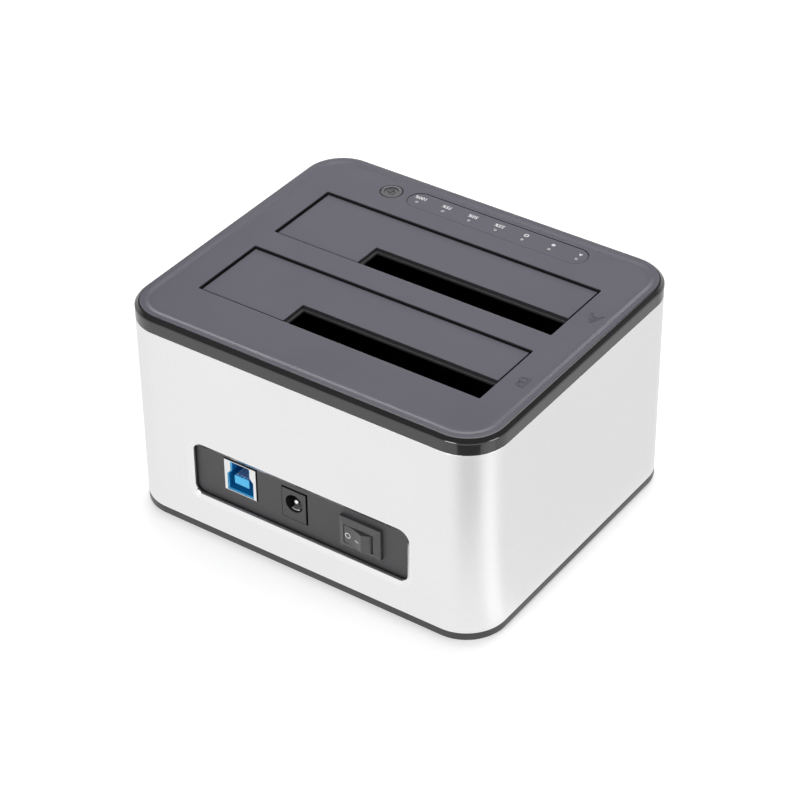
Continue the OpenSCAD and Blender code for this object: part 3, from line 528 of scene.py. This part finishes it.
# Darker copy of the flap plastic: painted shade on the flaps' side walls and on the wall of the button's
# dish
PAINTED_EDGE_SHADE = finish("painted_edge_shade", (0.02, 0.02, 0.022), (0.026, 0.026, 0.028), 0.5, 0.6, 4200, 0.008)
RIM_GLOSS = finish("rim_gloss", (0.015, 0.015, 0.016), (0.019, 0.019, 0.02), 0.1, 0.16, 900, 0.001, ior=1.7)
# Black plastic of the base tray; also painted shade on the tops of the flaps' ledges
BASE_BLACK_AND_LEDGE_SHADE = finish("base_plastic", (0.036, 0.036, 0.038), (0.044, 0.044, 0.046), 0.34, 0.42, 2600, 0.006)
PANEL_PLASTIC = finish("panel_plastic", (0.052, 0.05, 0.053), (0.06, 0.058, 0.061), 0.5, 0.58, 3800, 0.01)
# Near black: colour of the drive wells, and painted shade on the walls of the cover's bays and of the
# inlay's seat
WELL_BLACK_AND_GAP_SHADE = finish("well_plastic", (0.004, 0.004, 0.004), (0.006, 0.006, 0.006), 0.6, 0.7, 2600, 0.01)
BUTTON_PLASTIC = finish("button_plastic", (0.095, 0.094, 0.104), (0.108, 0.107, 0.117), 0.42, 0.5,
                        4200, 0.006)
SWITCH_PLASTIC = finish("switch_plastic", (0.067, 0.065, 0.068), (0.077, 0.075, 0.078), 0.36, 0.44,
                        3000, 0.006)
SATA_PLASTIC = finish("sata_plastic", (0.008, 0.008, 0.008), (0.012, 0.012, 0.012), 0.4, 0.5, 3000, 0.006)
# Two copies of the socket insulator's blue: the pale one is painted light on faces toward +Y, the darker one
# painted shade on its other faces
INSULATOR_PAINTED_SHADE = finish("insulator_painted_shade", (0.006, 0.2, 0.52), (0.01, 0.24, 0.58), 0.28, 0.36, 2600, 0.004)
INSULATOR_PAINTED_LIT = finish("insulator_painted_light", (0.06, 0.46, 0.82), (0.08, 0.52, 0.88), 0.28, 0.36, 2600, 0.004)
PLATED = finish("plated_steel", (0.78, 0.78, 0.79), (0.84, 0.84, 0.85), 0.2, 0.3, 1800, 0.003, metallic=1.0)
TINNED = finish("tinned_contacts", (0.9, 0.9, 0.91), (0.95, 0.95, 0.96), 0.5, 0.6, 1800, 0.003, metallic=1.0)
GILT = finish("gilt_contacts", (0.8, 0.58, 0.22), (0.86, 0.64, 0.28), 0.2, 0.3, 1800, 0.002, metallic=1.0)
ZINC = finish("zinc_screws", (0.5, 0.5, 0.51), (0.6, 0.6, 0.61), 0.3, 0.42, 1500, 0.004, metallic=1.0)
CAN_METAL = finish("drawn_can", (0.6, 0.6, 0.62), (0.68, 0.68, 0.7), 0.25, 0.35, 1500, 0.003, metallic=1.0)
BOARD_GREEN = finish("solder_mask", (0.012, 0.1, 0.05), (0.02, 0.14, 0.07), 0.3, 0.42, 1200, 0.006)
CHIP_BLACK = finish("chip_mould", (0.012, 0.012, 0.012), (0.018, 0.018, 0.018), 0.5, 0.6, 3500, 0.006)
FERRITE = finish("ferrite", (0.04, 0.04, 0.042), (0.06, 0.06, 0.062), 0.6, 0.75, 2200, 0.02)
PALE_PLASTIC = finish("pale_plastic", (0.66, 0.64, 0.58), (0.74, 0.72, 0.66), 0.4, 0.5, 2600, 0.005)
RED_LEAD = finish("red_lead", (0.36, 0.02, 0.02), (0.44, 0.03, 0.03), 0.4, 0.5, 2000, 0.006)
GREY_LEAD = finish("grey_ribbon", (0.4, 0.4, 0.41), (0.48, 0.48, 0.49), 0.45, 0.55, 1600, 0.01)
RUBBER = finish("foot_rubber", (0.012, 0.012, 0.012), (0.02, 0.02, 0.02), 0.7, 0.85, 2200, 0.02)
LENS = finish("lamp_lens", (0.36, 0.36, 0.37), (0.44, 0.44, 0.45), 0.25, 0.32, 2000, 0.003)
PRINT_WHITE = finish("white_print", (0.74, 0.74, 0.75), (0.82, 0.82, 0.83), 0.5, 0.6, 3000, 0.002)
# Dark print in the button's dish; also painted shade as the outlines of the engraved bay letters
DARK_PRINT_AND_SHADE = finish("dark_line", (0.006, 0.006, 0.007), (0.01, 0.01, 0.011), 0.5, 0.6, 3000, 0.002)

# CAD nodes that show as they are
NODE_FINISHES = {
    "drive_well_rear": WELL_BLACK_AND_GAP_SHADE, "drive_well_front": WELL_BLACK_AND_GAP_SHADE, "hinge_pin_rear": ZINC,
    "hinge_pin_front": ZINC, "flap_spring_rear": ZINC, "flap_spring_front": ZINC, "main_board": BOARD_GREEN,
    "sata_contacts_rear": GILT, "sata_contacts_front": GILT, "bridge_chip": CHIP_BLACK,
    "capacitor_1": CAN_METAL, "capacitor_2": CAN_METAL, "capacitor_3": CAN_METAL, "inductor": FERRITE,
    "crystal": CAN_METAL, "usb_contacts": TINNED, "dc_pin": PLATED, "dc_contact": TINNED,
    "switch_terminals": PLATED, "switch_leads": RED_LEAD, "tact_plunger": PALE_PLASTIC,
    "tact_switch": CHIP_BLACK, "indicator_board": BOARD_GREEN, "light_pipe": LENS,
    "status_lamps": PALE_PLASTIC, "ribbon_lead": GREY_LEAD, "ribbon_plug_low": PALE_PLASTIC,
    "ribbon_plug_high": PALE_PLASTIC, "board_screws": ZINC, "well_screws": ZINC, "indicator_screws": ZINC,
}
for node, surface in NODE_FINISHES.items():
    frame["nodes"][node].data.materials.clear()
    frame["nodes"][node].data.materials.append(surface)


# Case shells

def make_base():
    """Black tray: the band below the sleeve, and the underside with its seats and counterbores."""
    bm = bmesh.new()
    band = rounded([(BASE_CHAMFER, BASE_Z), (0, BASE_Z + BASE_CHAMFER), (0, BAND_Z), (SKIRT_IN, BAND_Z)],
                   BASE_ROUND)
    rims = [case_ring(bm, inset, z) for inset, z in band]
    loft(bm, rims)
    bmesh.ops.edgeloop_fill(bm, edges=rims[-1])
    mouths = []
    for node in FEET:
        foot_low, foot_high = cad_box(node)
        foot = ((foot_low.x + foot_high.x) / 2, (foot_low.y + foot_high.y) / 2)
        post = (math.copysign(POST_X, foot[0]), math.copysign(POST_Y, foot[1]))
        for at, radius, depth in ((foot, FOOT_SEAT_R, FOOT_SEAT_H), (post, COUNTERBORE_R, COUNTERBORE_H)):
            pocket = [circle(bm, radius + out, BASE_Z + up, at)
                      for out, up in ((POCKET_EDGE, 0), (0, POCKET_EDGE), (0, depth))]
            loft(bm, pocket)
            bmesh.ops.edgeloop_fill(bm, edges=pocket[-1])
            mouths += pocket[0]
    plate(bm, rims[0] + mouths)
    return piece("base_tray", bm, [BASE_BLACK_AND_LEDGE_SHADE], stands_for=["base"])


def make_case_screws():
    """Pan-head screws with a cross recess, as the underside shows them."""
    bm = bmesh.new()
    low = SCREWS_LOW.z
    length = SCREWS_HIGH.z - low
    shank = ((THREAD_R, HEAD_H), (THREAD_R, length - SCREW_TIP_H), (THREAD_R - SCREW_TIP_IN, length))
    for x, y in SCREW_CORNERS:
        at = (x * POST_X, y * POST_Y)
        rims = [circle(bm, radius, low + up, at, SCREW_STEPS) for radius, up in HEAD_EDGE + shank]
        loft(bm, rims)
        bmesh.ops.edgeloop_fill(bm, edges=rims[-1])
        recess = [cross_ring(bm, arm, half, low + up, at) for arm, half, up in RECESS]
        loft(bm, recess)
        bmesh.ops.edgeloop_fill(bm, edges=recess[-1])
        plate(bm, rims[0] + recess[0])
    return piece("case_screw_set", bm, [ZINC], stands_for=["case_screws"])


def make_sleeve():
    """Satin metal tube with the bevelled cut-out in its socket wall."""
    bm = bmesh.new()
    outer_low, outer_high = case_ring(bm, 0, BAND_Z), case_ring(bm, 0, SLEEVE_Z)
    inner_high, inner_low = case_ring(bm, SLEEVE_WALL, SLEEVE_Z), case_ring(bm, SLEEVE_WALL, BAND_Z)
    loft(bm, [outer_low, outer_high, inner_high, inner_low, outer_low])
    soften(bm, outer_low + outer_high, SLEEVE_EDGE)
    face_y = SLEEVE_HIGH.y
    bevel = rounded([(CUT_BEVEL + CUT_MARGIN, 0), (CUT_BEVEL, 0), (0, CUT_BEVEL_D), (0, SLEEVE_WALL)],
                    CUT_ROUND)
    rims = [wall_ring(bm, CUT_W + 2 * out, CUT_H + 2 * out, CUT_R + out, face_y - depth, (0, CUT_Z))
            for out, depth in bevel]
    loft(bm, rims, finish=1)
    for y, rim in ((face_y, rims[0]), (face_y - SLEEVE_WALL, rims[-1])):
        level = [face for face in bm.faces if abs(face.calc_center_median().y - y) < SAME_PLANE]
        wall = max(level, key=lambda face: face.calc_area())
        edges = list(wall.edges)
        bmesh.ops.delete(bm, geom=[wall], context="FACES_ONLY")
        plate(bm, edges + rim)
    return piece("sleeve_shell", bm, [SATIN_METAL, CUT_METAL], stands_for=["sleeve"],
                 sharp=50)


def inlay_ring(bm, out, z, back=0):
    """Edges of the lamp inlay's round-ended outline, moved outwards and back, level at z."""
    wide = INLAY_HIGH.x - INLAY_LOW.x + 2 * out
    deep = INLAY_HIGH.y - INLAY_LOW.y + 2 * out
    middle = (INLAY_LOW + INLAY_HIGH) / 2
    return ring(bm, wide, deep, deep / 2 - INLAY_END_GAP, z, (middle.x, middle.y - back), 16)


def cut_bay(bm, node):
    """Walls of a drive bay in the cover; gives the edges at its mouth and at its end."""
    at = (0, cad_box(node)[1].y + FLAP_GAP - BAY_D / 2)
    edge = rounded([(MOUTH_MARGIN, 0), (0, 0), (0, PANEL_T)], BAY_EDGE)
    walls = [ring(bm, BAY_L + 2 * out, BAY_D + 2 * out, BAY_CORNER + out, PANEL_Z - depth, at, 4)
             for out, depth in edge]
    loft(bm, walls[:-1])
    # The bay's straight walls take the near-black finish, painted shade in the gap round the flap
    loft(bm, walls[-2:], finish=2)
    return walls[0], walls[-1]


def make_cover():
    """Top cover: glossy band and chamfer, satin lip and slope, matte panel with bays and seats cut in."""
    bm = bmesh.new()
    lip_out = COVER_CHAMFER + LIP_W
    skirt = [(SKIRT_IN, UNDER_Z), (SKIRT_IN, SKIRT_LOW), (SKIRT_OUT, SKIRT_LOW), (SKIRT_OUT, SLEEVE_Z)]
    gloss = rounded([(0, SLEEVE_Z), (0, LIP_Z - COVER_CHAMFER), (COVER_CHAMFER, LIP_Z), (lip_out, LIP_Z)],
                    RIM_ROUND)
    satin = rounded([gloss[-2], (lip_out, LIP_Z), (RIM_IN, PANEL_Z), (RIM_IN + PANEL_MARGIN, PANEL_Z)],
                    SLOPE_ROUND)
    skirt_rims = [case_ring(bm, inset, z) for inset, z in skirt]
    gloss_rims = [case_ring(bm, inset, z) for inset, z in gloss[:-1]]
    satin_rims = gloss_rims[-1:] + [case_ring(bm, inset, z) for inset, z in satin[1:]]
    loft(bm, skirt_rims + gloss_rims[:1])
    loft(bm, gloss_rims, finish=1)
    loft(bm, satin_rims, finish=3)
    bays = [cut_bay(bm, node) for node in FLAPS]
    hole = [circle(bm, BUTTON_R + BUTTON_GAP + out, PANEL_Z - depth, BUTTON_AT, BUTTON_STEPS)
            for out, depth in rounded([(MOUTH_MARGIN, 0), (0, 0), (0, PANEL_T)], HOLE_EDGE)]
    loft(bm, hole)
    seat = [inlay_ring(bm, INLAY_GAP, z, INLAY_BACK) for z in (PANEL_Z, INLAY_LOW.z)]
    # The seat's walls take the near-black finish, painted shade in the gap round the inlay
    loft(bm, seat, finish=2)
    bmesh.ops.edgeloop_fill(bm, edges=seat[-1])
    plate(bm, satin_rims[-1] + bays[0][0] + bays[1][0] + hole[0] + seat[0])
    plate(bm, skirt_rims[0] + bays[0][1] + bays[1][1] + hole[-1])
    return piece("top_shell", bm, [TOP_PLASTIC, RIM_GLOSS, WELL_BLACK_AND_GAP_SHADE, LIP_SATIN],
                 stands_for=["top_cover"])


def l_plate(bm, node, ledge, top, bottom):
    """L-shaped plate with a flap's outline and a notch that is wider by a ledge."""
    low, high = cad_box(node)
    near, far = high.y, high.y - FLAP_D
    notch_x = -BAY_L / 2 + NOTCH_L + ledge
    notch_y = near + FLAP_GAP - NOTCH_D - ledge
    corners = [(low.x, far), (high.x, far), (high.x, near),
               (notch_x, near), (notch_x, notch_y), (low.x, notch_y)]
    face = bm.faces.new([bm.verts.new((x, y, top)) for x, y in corners])
    extrude(bm, [face], (0, 0, bottom - top))


def make_flap(node, body):
    """L-shaped flap with a ledge along its notch, and the knuckles and arms that carry it on its pin."""
    bm = bmesh.new()
    top = cad_box(node)[1].z
    l_plate(bm, node, LEDGE_W, top, top - LEDGE_DROP - LEDGE_OVERLAP)
    l_plate(bm, node, 0, top - LEDGE_DROP, top - FLAP_T)
    bmesh.ops.recalc_face_normals(bm, faces=bm.faces)
    soften(bm, sharp_edges(bm), FLAP_ROUND)
    bm.normal_update()
    # Faces that don't face up take the dark finish, painted shade on the flap's side walls; the top keeps
    # the flap's colour
    for face in bm.faces:
        if face.normal.z <= FACING_UP:
            face.material_index = 1
        elif face.calc_center_median().z > top - LEDGE_DROP / 2:
            face.material_index = 0
        # The ledge's top, below the flap's top, takes the base's black plastic as painted shade
        else:
            face.material_index = 2
    _, hinge_y, hinge_z = Vector(JOINTS[body + "_hinge"]["pos_m"]) / MM
    arm_low = hinge_z - KNUCKLE_R / 2
    arm_h = top - FLAP_T - arm_low
    for x in KNUCKLE_XS:
        place = Matrix.Translation((x, hinge_y, hinge_z)) @ Matrix.Rotation(math.pi / 2, 4, "Y")
        bmesh.ops.create_cone(bm, cap_ends=True, segments=32, radius1=KNUCKLE_R, radius2=KNUCKLE_R,
                              depth=KNUCKLE_W, matrix=place)
        place = Matrix.Translation((x, hinge_y + KNUCKLE_ARM / 2, arm_low + arm_h / 2))
        bmesh.ops.create_cube(bm, size=1, matrix=place @ Matrix.Diagonal((KNUCKLE_W, KNUCKLE_ARM, arm_h, 1)))
    return piece(node + "_shell", bm, [FLAP_PLASTIC, PAINTED_EDGE_SHADE, BASE_BLACK_AND_LEDGE_SHADE], body, [node])


# Button, inlay and lamps

def make_button():
    """Round button with a soft edge, a shallow flat dish and the flange that keeps it in."""
    bm = bmesh.new()
    low, top = BUTTON_LOW.z, BUTTON_HIGH.z
    flange_r = (BUTTON_HIGH.x - BUTTON_LOW.x) / 2
    dish = top - BUTTON_DISH
    flange = low + FLANGE_H
    outline = [(flange_r, low), (flange_r, flange)]
    outline += rounded([(BUTTON_R, flange), (BUTTON_R, top), (BUTTON_DISH_R, top)], BUTTON_ROUND)
    outer = [circle(bm, radius, z, BUTTON_AT, BUTTON_STEPS) for radius, z in outline]
    wall, floor = [circle(bm, radius, dish, BUTTON_AT, BUTTON_STEPS)
                   for radius in (BUTTON_DISH_R - DISH_WALL, DISH_MIDDLE_R)]
    loft(bm, outer)
    # The dish's wall takes the dark finish, painted shade round the dish's edge
    loft(bm, [outer[-1], wall], finish=1)
    loft(bm, [wall, floor])
    bmesh.ops.edgeloop_fill(bm, edges=outer[0])
    bmesh.ops.edgeloop_fill(bm, edges=floor)
    return piece("clone_button_cap", bm, [BUTTON_PLASTIC, PAINTED_EDGE_SHADE], "button", ["clone_button"])


def make_copy_sign():
    """Two overlapping sheets printed in the button's dish."""
    bm = bmesh.new()
    level = BUTTON_HIGH.z - BUTTON_DISH + PRINT_T / 2
    for x, y in SHEETS_AT:
        at = (BUTTON_AT[0] + x, BUTTON_AT[1] + y)
        loft(bm, [ring(bm, SHEET_W - trim, SHEET_H - trim, SHEET_R - trim / 3, level, at, 5)
                  for trim in (0, SHEET_LINE)])
    extrude(bm, list(bm.faces), (0, 0, -PRINT_T))
    return piece("button_sign", bm, [DARK_PRINT_AND_SHADE], "button")


def make_inlay():
    """Thin bar let into the panel, with a hole for each lamp."""
    bm = bmesh.new()
    low, edge = inlay_ring(bm, 0, INLAY_LOW.z), inlay_ring(bm, 0, PANEL_Z - INLAY_EDGE)
    high = inlay_ring(bm, -INLAY_EDGE, PANEL_Z)
    loft(bm, [low, edge, high])
    mouths, ends = [], []
    for x in LAMP_XS:
        hole = [circle(bm, LAMP_R + LAMP_GAP, z, (x, LAMP_Y), LAMP_STEPS) for z in (PANEL_Z, INLAY_LOW.z)]
        loft(bm, hole)
        mouths += hole[0]
        ends += hole[1]
    plate(bm, high + mouths)
    plate(bm, low + ends)
    return piece("lamp_inlay", bm, [TOP_PLASTIC], stands_for=["indicator_inlay"])


def make_lamp_windows():
    """Low domes where the light pipes come up through the inlay."""
    bm = bmesh.new()
    for x in LAMP_XS:
        rings = [circle(bm, radius, PANEL_Z + up, (x, LAMP_Y), LAMP_STEPS)
                 for radius, up in WINDOW_PROFILE]
        loft(bm, rings)
        bmesh.ops.edgeloop_fill(bm, edges=rings[0])
        bmesh.ops.edgeloop_fill(bm, edges=rings[-1])
    return piece("lamp_windows", bm, [LENS])


def printed(name, words, size, at, surface, bold=0.0, line=None):
    """Lettering on the panel, or its outline as a fine line, which serves as painted shade along the edges
    of the engraved bay letters.
    """
    curve = bpy.data.curves.new(name, "FONT")
    curve.body = words
    curve.size = size * MM
    curve.align_x = "CENTER"
    curve.align_y = "CENTER"
    curve.resolution_u = 6
    if line:
        curve.fill_mode = "NONE"
        curve.bevel_depth = line * MM
        curve.bevel_resolution = 1
    else:
        curve.offset = bold * MM
        curve.extrude = PRINT_T / 2 * MM
    made = bpy.data.objects.new(name, curve)
    bpy.context.scene.collection.objects.link(made)
    bpy.context.view_layer.update()
    mesh = bpy.data.meshes.new_from_object(made.evaluated_get(bpy.context.evaluated_depsgraph_get()))
    bpy.data.objects.remove(made)
    bm = bmesh.new()
    bm.from_mesh(mesh)
    bmesh.ops.remove_doubles(bm, verts=bm.verts, dist=PRINT_WELD * MM)
    bm.to_mesh(mesh)
    bm.free()
    mesh.transform(Matrix.Translation(Vector(at) * MM))
    mesh.materials.clear()
    mesh.materials.append(surface)
    lettering = bpy.data.objects.new(name, mesh)
    bpy.context.scene.collection.objects.link(lettering)
    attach(lettering, "case")
    return lettering


def make_marks():
    """Plain numbers and signs by the lamps, and beside each bay an engraved letter, drawn as a dark outline
    of painted shade.
    """
    for x, words in zip(LAMP_XS[-len(LABELS):], LABELS):
        at = (x, LABEL_Y, PANEL_Z)
        printed("label_" + words[:-1], words, LABEL_SIZE, at, PRINT_WHITE, bold=LABEL_BOLD)
    # The bay letters are engraved; their dark outlines are painted shade along the edges
    for words, y in BAY_LETTERS.items():
        at = (BAY_LETTER_X, y, PANEL_Z - BAY_LETTER_DROP)
        printed("bay_letter_" + words, words, BAY_LETTER_SIZE, at, DARK_PRINT_AND_SHADE, line=BAY_LETTER_LINE)
    bm = bmesh.new()
    level = PANEL_Z + PRINT_T / 2
    loft(bm, [circle(bm, radius, level, (LAMP_XS[2], LABEL_Y), 28) for radius in RING_SIGN])
    for x, corners, radius in ((LAMP_XS[1], 24, DOT_R), (LAMP_XS[0], 3, POINTER_R)):
        place = Matrix.Translation((x, LABEL_Y, level))
        bmesh.ops.create_circle(bm, cap_ends=True, segments=corners, radius=radius, matrix=place)
    extrude(bm, list(bm.faces), (0, 0, -PRINT_T))
    return piece("lamp_signs", bm, [PRINT_WHITE])


# Sockets and switch

def make_sockets():
    """Socket panel, data socket, power socket and the drive sockets, with softened edges."""
    softened("socket_plate", "socket_panel", PANEL_SOFT, [PANEL_PLASTIC])
    softened("usb_shell_frame", "usb_shell", SHELL_SOFT, [PLATED])
    # The insulator's faces toward +Y take the pale blue as painted light, its other faces the darker blue as
    # painted shade
    softened("usb_insulator_block", "usb_insulator", PANEL_SOFT, [INSULATOR_PAINTED_LIT, INSULATOR_PAINTED_SHADE])
    softened("dc_block", "dc_jack", SHELL_SOFT, [PANEL_PLASTIC, SATA_PLASTIC])
    for side in ("rear", "front"):
        softened("sata_block_" + side, "sata_socket_" + side, SOCKET_SOFT, [SATA_PLASTIC])


def make_switch():
    """Rocker switch: bezel, rocker, and the two signs on the rocker's face."""
    softened("switch_bezel", "switch_body", SHELL_SOFT, [SWITCH_PLASTIC])
    softened("rocker_cap", "switch_rocker", ROCKER_SOFT, [SWITCH_PLASTIC], "rocker")
    bm = bmesh.new()
    loft(bm, [stand(bm, circle(bm, radius, 0, OFF_SIGN_AT, 32)) for radius in OFF_SIGN])
    dash = wall_ring(bm, *ON_SIGN, 0, ON_SIGN_AT, 2)
    bmesh.ops.edgeloop_fill(bm, edges=dash)
    bmesh.ops.subdivide_edges(bm, edges=bm.edges, cuts=1)
    for vert in bm.verts:
        vert.co.y = ROCKER_MIDDLE + vert.co.x ** 2 / (2 * ROCKER_HOLLOW_R) + PRINT_T / 2
    extrude(bm, list(bm.faces), (0, -PRINT_T, 0))
    bmesh.ops.rotate(bm, cent=(0, 0, 0), matrix=Matrix.Rotation(-ROCKER_TILT, 3, "Z"), verts=bm.verts)
    bmesh.ops.translate(bm, vec=ROCKER_PIVOT, verts=bm.verts)
    return piece("rocker_signs", bm, [PRINT_WHITE], "rocker")


def make_feet():
    """Rubber feet with a round edge."""
    for node in FEET:
        softened("rubber_" + node, node, FOOT_SOFT, [RUBBER], steps=3)


# Stage, light and camera

def make_camera():
    """Camera at the photograph's view."""
    lens = bpy.data.cameras.new("camera")
    lens.lens = CAMERA_LENS
    lens.sensor_width = SENSOR_W
    lens.clip_start = CLIP_START
    made = bpy.data.objects.new("camera", lens)
    made.matrix_world = Matrix.Translation(CAMERA_PLACE) @ Matrix(CAMERA_AXES).transposed().to_4x4()
    bpy.context.scene.collection.objects.link(made)
    bpy.context.scene.camera = made


def white_when_seen(tree, shaded, to_camera, to_gloss):
    """Shader that glows for the camera on top of its shading, and is plain white in a reflection."""
    path = tree.nodes.new("ShaderNodeLightPath")
    glow = tree.nodes.new("ShaderNodeEmission")
    strength = combined(tree, "MULTIPLY", path.outputs["Is Camera Ray"], to_camera)
    tree.links.new(strength, glow.inputs["Strength"])
    added = tree.nodes.new("ShaderNodeAddShader")
    tree.links.new(shaded, added.inputs[0])
    tree.links.new(glow.outputs[0], added.inputs[1])
    plain = tree.nodes.new("ShaderNodeEmission")
    plain.inputs["Strength"].default_value = to_gloss
    chosen = tree.nodes.new("ShaderNodeMixShader")
    mirrored = combined(tree, "MAXIMUM", path.outputs["Is Glossy Ray"], path.outputs["Is Transmission Ray"])
    tree.links.new(mirrored, chosen.inputs["Fac"])
    tree.links.new(added.outputs[0], chosen.inputs[1])
    tree.links.new(plain.outputs[0], chosen.inputs[2])
    return chosen.outputs[0]


def make_floor():
    """Plain pale floor that keeps the object's shadow and is clear from below."""
    bm = bmesh.new()
    bmesh.ops.create_grid(bm, x_segments=1, y_segments=1, size=FLOOR_HALF)
    mesh = bpy.data.meshes.new("floor")
    bm.to_mesh(mesh)
    bm.free()
    paper = bpy.data.materials.new("white_paper")
    paper.use_nodes = True
    tree = paper.node_tree
    shader = tree.nodes["Principled BSDF"]
    shader.inputs["Base Color"].default_value = (PAPER_SHADE, PAPER_SHADE, PAPER_SHADE, 1)
    shader.inputs["Roughness"].default_value = PAPER_ROUGH
    place = tree.nodes.new("ShaderNodeTexCoord")
    away = tree.nodes.new("ShaderNodeVectorMath")
    away.operation = "LENGTH"
    tree.links.new(place.outputs["Object"], away.inputs[0])
    glow = ranged(tree, away.outputs["Value"], FLOOR_NEAR, FLOOR_FAR, FLOOR_SEEN, FLOOR_SEEN_FAR)
    lit = white_when_seen(tree, shader.outputs[0], glow, FLOOR_MIRRORED)
    side = tree.nodes.new("ShaderNodeNewGeometry")
    clear = tree.nodes.new("ShaderNodeBsdfTransparent")
    one_sided = tree.nodes.new("ShaderNodeMixShader")
    tree.links.new(side.outputs["Backfacing"], one_sided.inputs["Fac"])
    tree.links.new(lit, one_sided.inputs[1])
    tree.links.new(clear.outputs[0], one_sided.inputs[2])
    tree.links.new(one_sided.outputs[0], tree.nodes["Material Output"].inputs["Surface"])
    mesh.materials.append(paper)
    made = bpy.data.objects.new("floor", mesh)
    bpy.context.scene.collection.objects.link(made)


def make_world():
    """White where the camera sees it; for the rest a pale horizon under a dim room."""
    world = bpy.data.worlds.new("studio")
    bpy.context.scene.world = world
    world.use_nodes = True
    tree = world.node_tree
    way = tree.nodes.new("ShaderNodeTexCoord")
    split = tree.nodes.new("ShaderNodeSeparateXYZ")
    tree.links.new(way.outputs["Generated"], split.inputs[0])
    room = ranged(tree, split.outputs["Z"], HORIZON_LOW, HORIZON_HIGH, HORIZON, ROOM)
    path = tree.nodes.new("ShaderNodeLightPath")
    shade = tree.nodes["Background"]
    shade.inputs["Color"].default_value = (1, 1, 1, 1)
    tree.links.new(combined(tree, "MAXIMUM", path.outputs["Is Camera Ray"], room), shade.inputs["Strength"])


def softbox(name, place, aim, wide, high, power):
    """Rectangular lamp that faces a point."""
    lamp = bpy.data.lights.new(name, "AREA")
    lamp.shape = "RECTANGLE"
    lamp.size = wide
    lamp.size_y = high
    lamp.energy = power
    made = bpy.data.objects.new(name, lamp)
    made.location = place
    made.visible_camera = False
    made.rotation_euler = (Vector(aim) - Vector(place)).to_track_quat("-Z", "Y").to_euler()
    bpy.context.scene.collection.objects.link(made)


def make_light():
    """A large softbox overhead, one in front of the sockets, one to the right, and a low strip behind."""
    for name, (place, aim, wide, high, power) in SOFTBOXES.items():
        softbox(name, place, aim, wide, high, power)


def make_card(name, corners, shade):
    """Glowing card on the floor, seen only in reflections: a painted reflection in the metal and the gloss,
    as bright as its strength.
    """
    bm = bmesh.new()
    bm.faces.new([bm.verts.new((x, y, CARD_Z)) for x, y in corners])
    mesh = bpy.data.meshes.new(name)
    bm.to_mesh(mesh)
    bm.free()
    card = bpy.data.materials.new(name)
    card.use_nodes = True
    tree = card.node_tree
    glow = tree.nodes.new("ShaderNodeEmission")
    glow.inputs["Strength"].default_value = shade
    tree.links.new(glow.outputs[0], tree.nodes["Material Output"].inputs["Surface"])
    mesh.materials.append(card)
    made = bpy.data.objects.new(name, mesh)
    made.visible_camera = False
    made.visible_diffuse = False
    made.visible_shadow = False
    made.visible_transmission = False
    bpy.context.scene.collection.objects.link(made)


make_camera()
make_base()
make_case_screws()
make_sleeve()
make_cover()
for flap, flap_body in FLAPS.items():
    make_flap(flap, flap_body)
make_button()
make_copy_sign()
make_inlay()
make_lamp_windows()
make_marks()
make_sockets()
make_switch()
make_feet()
make_floor()
make_world()
make_light()
for card, (card_corners, card_shade) in CARDS.items():
    make_card(card, card_corners, card_shade)
bpy.context.scene.view_settings.view_transform = "Standard"
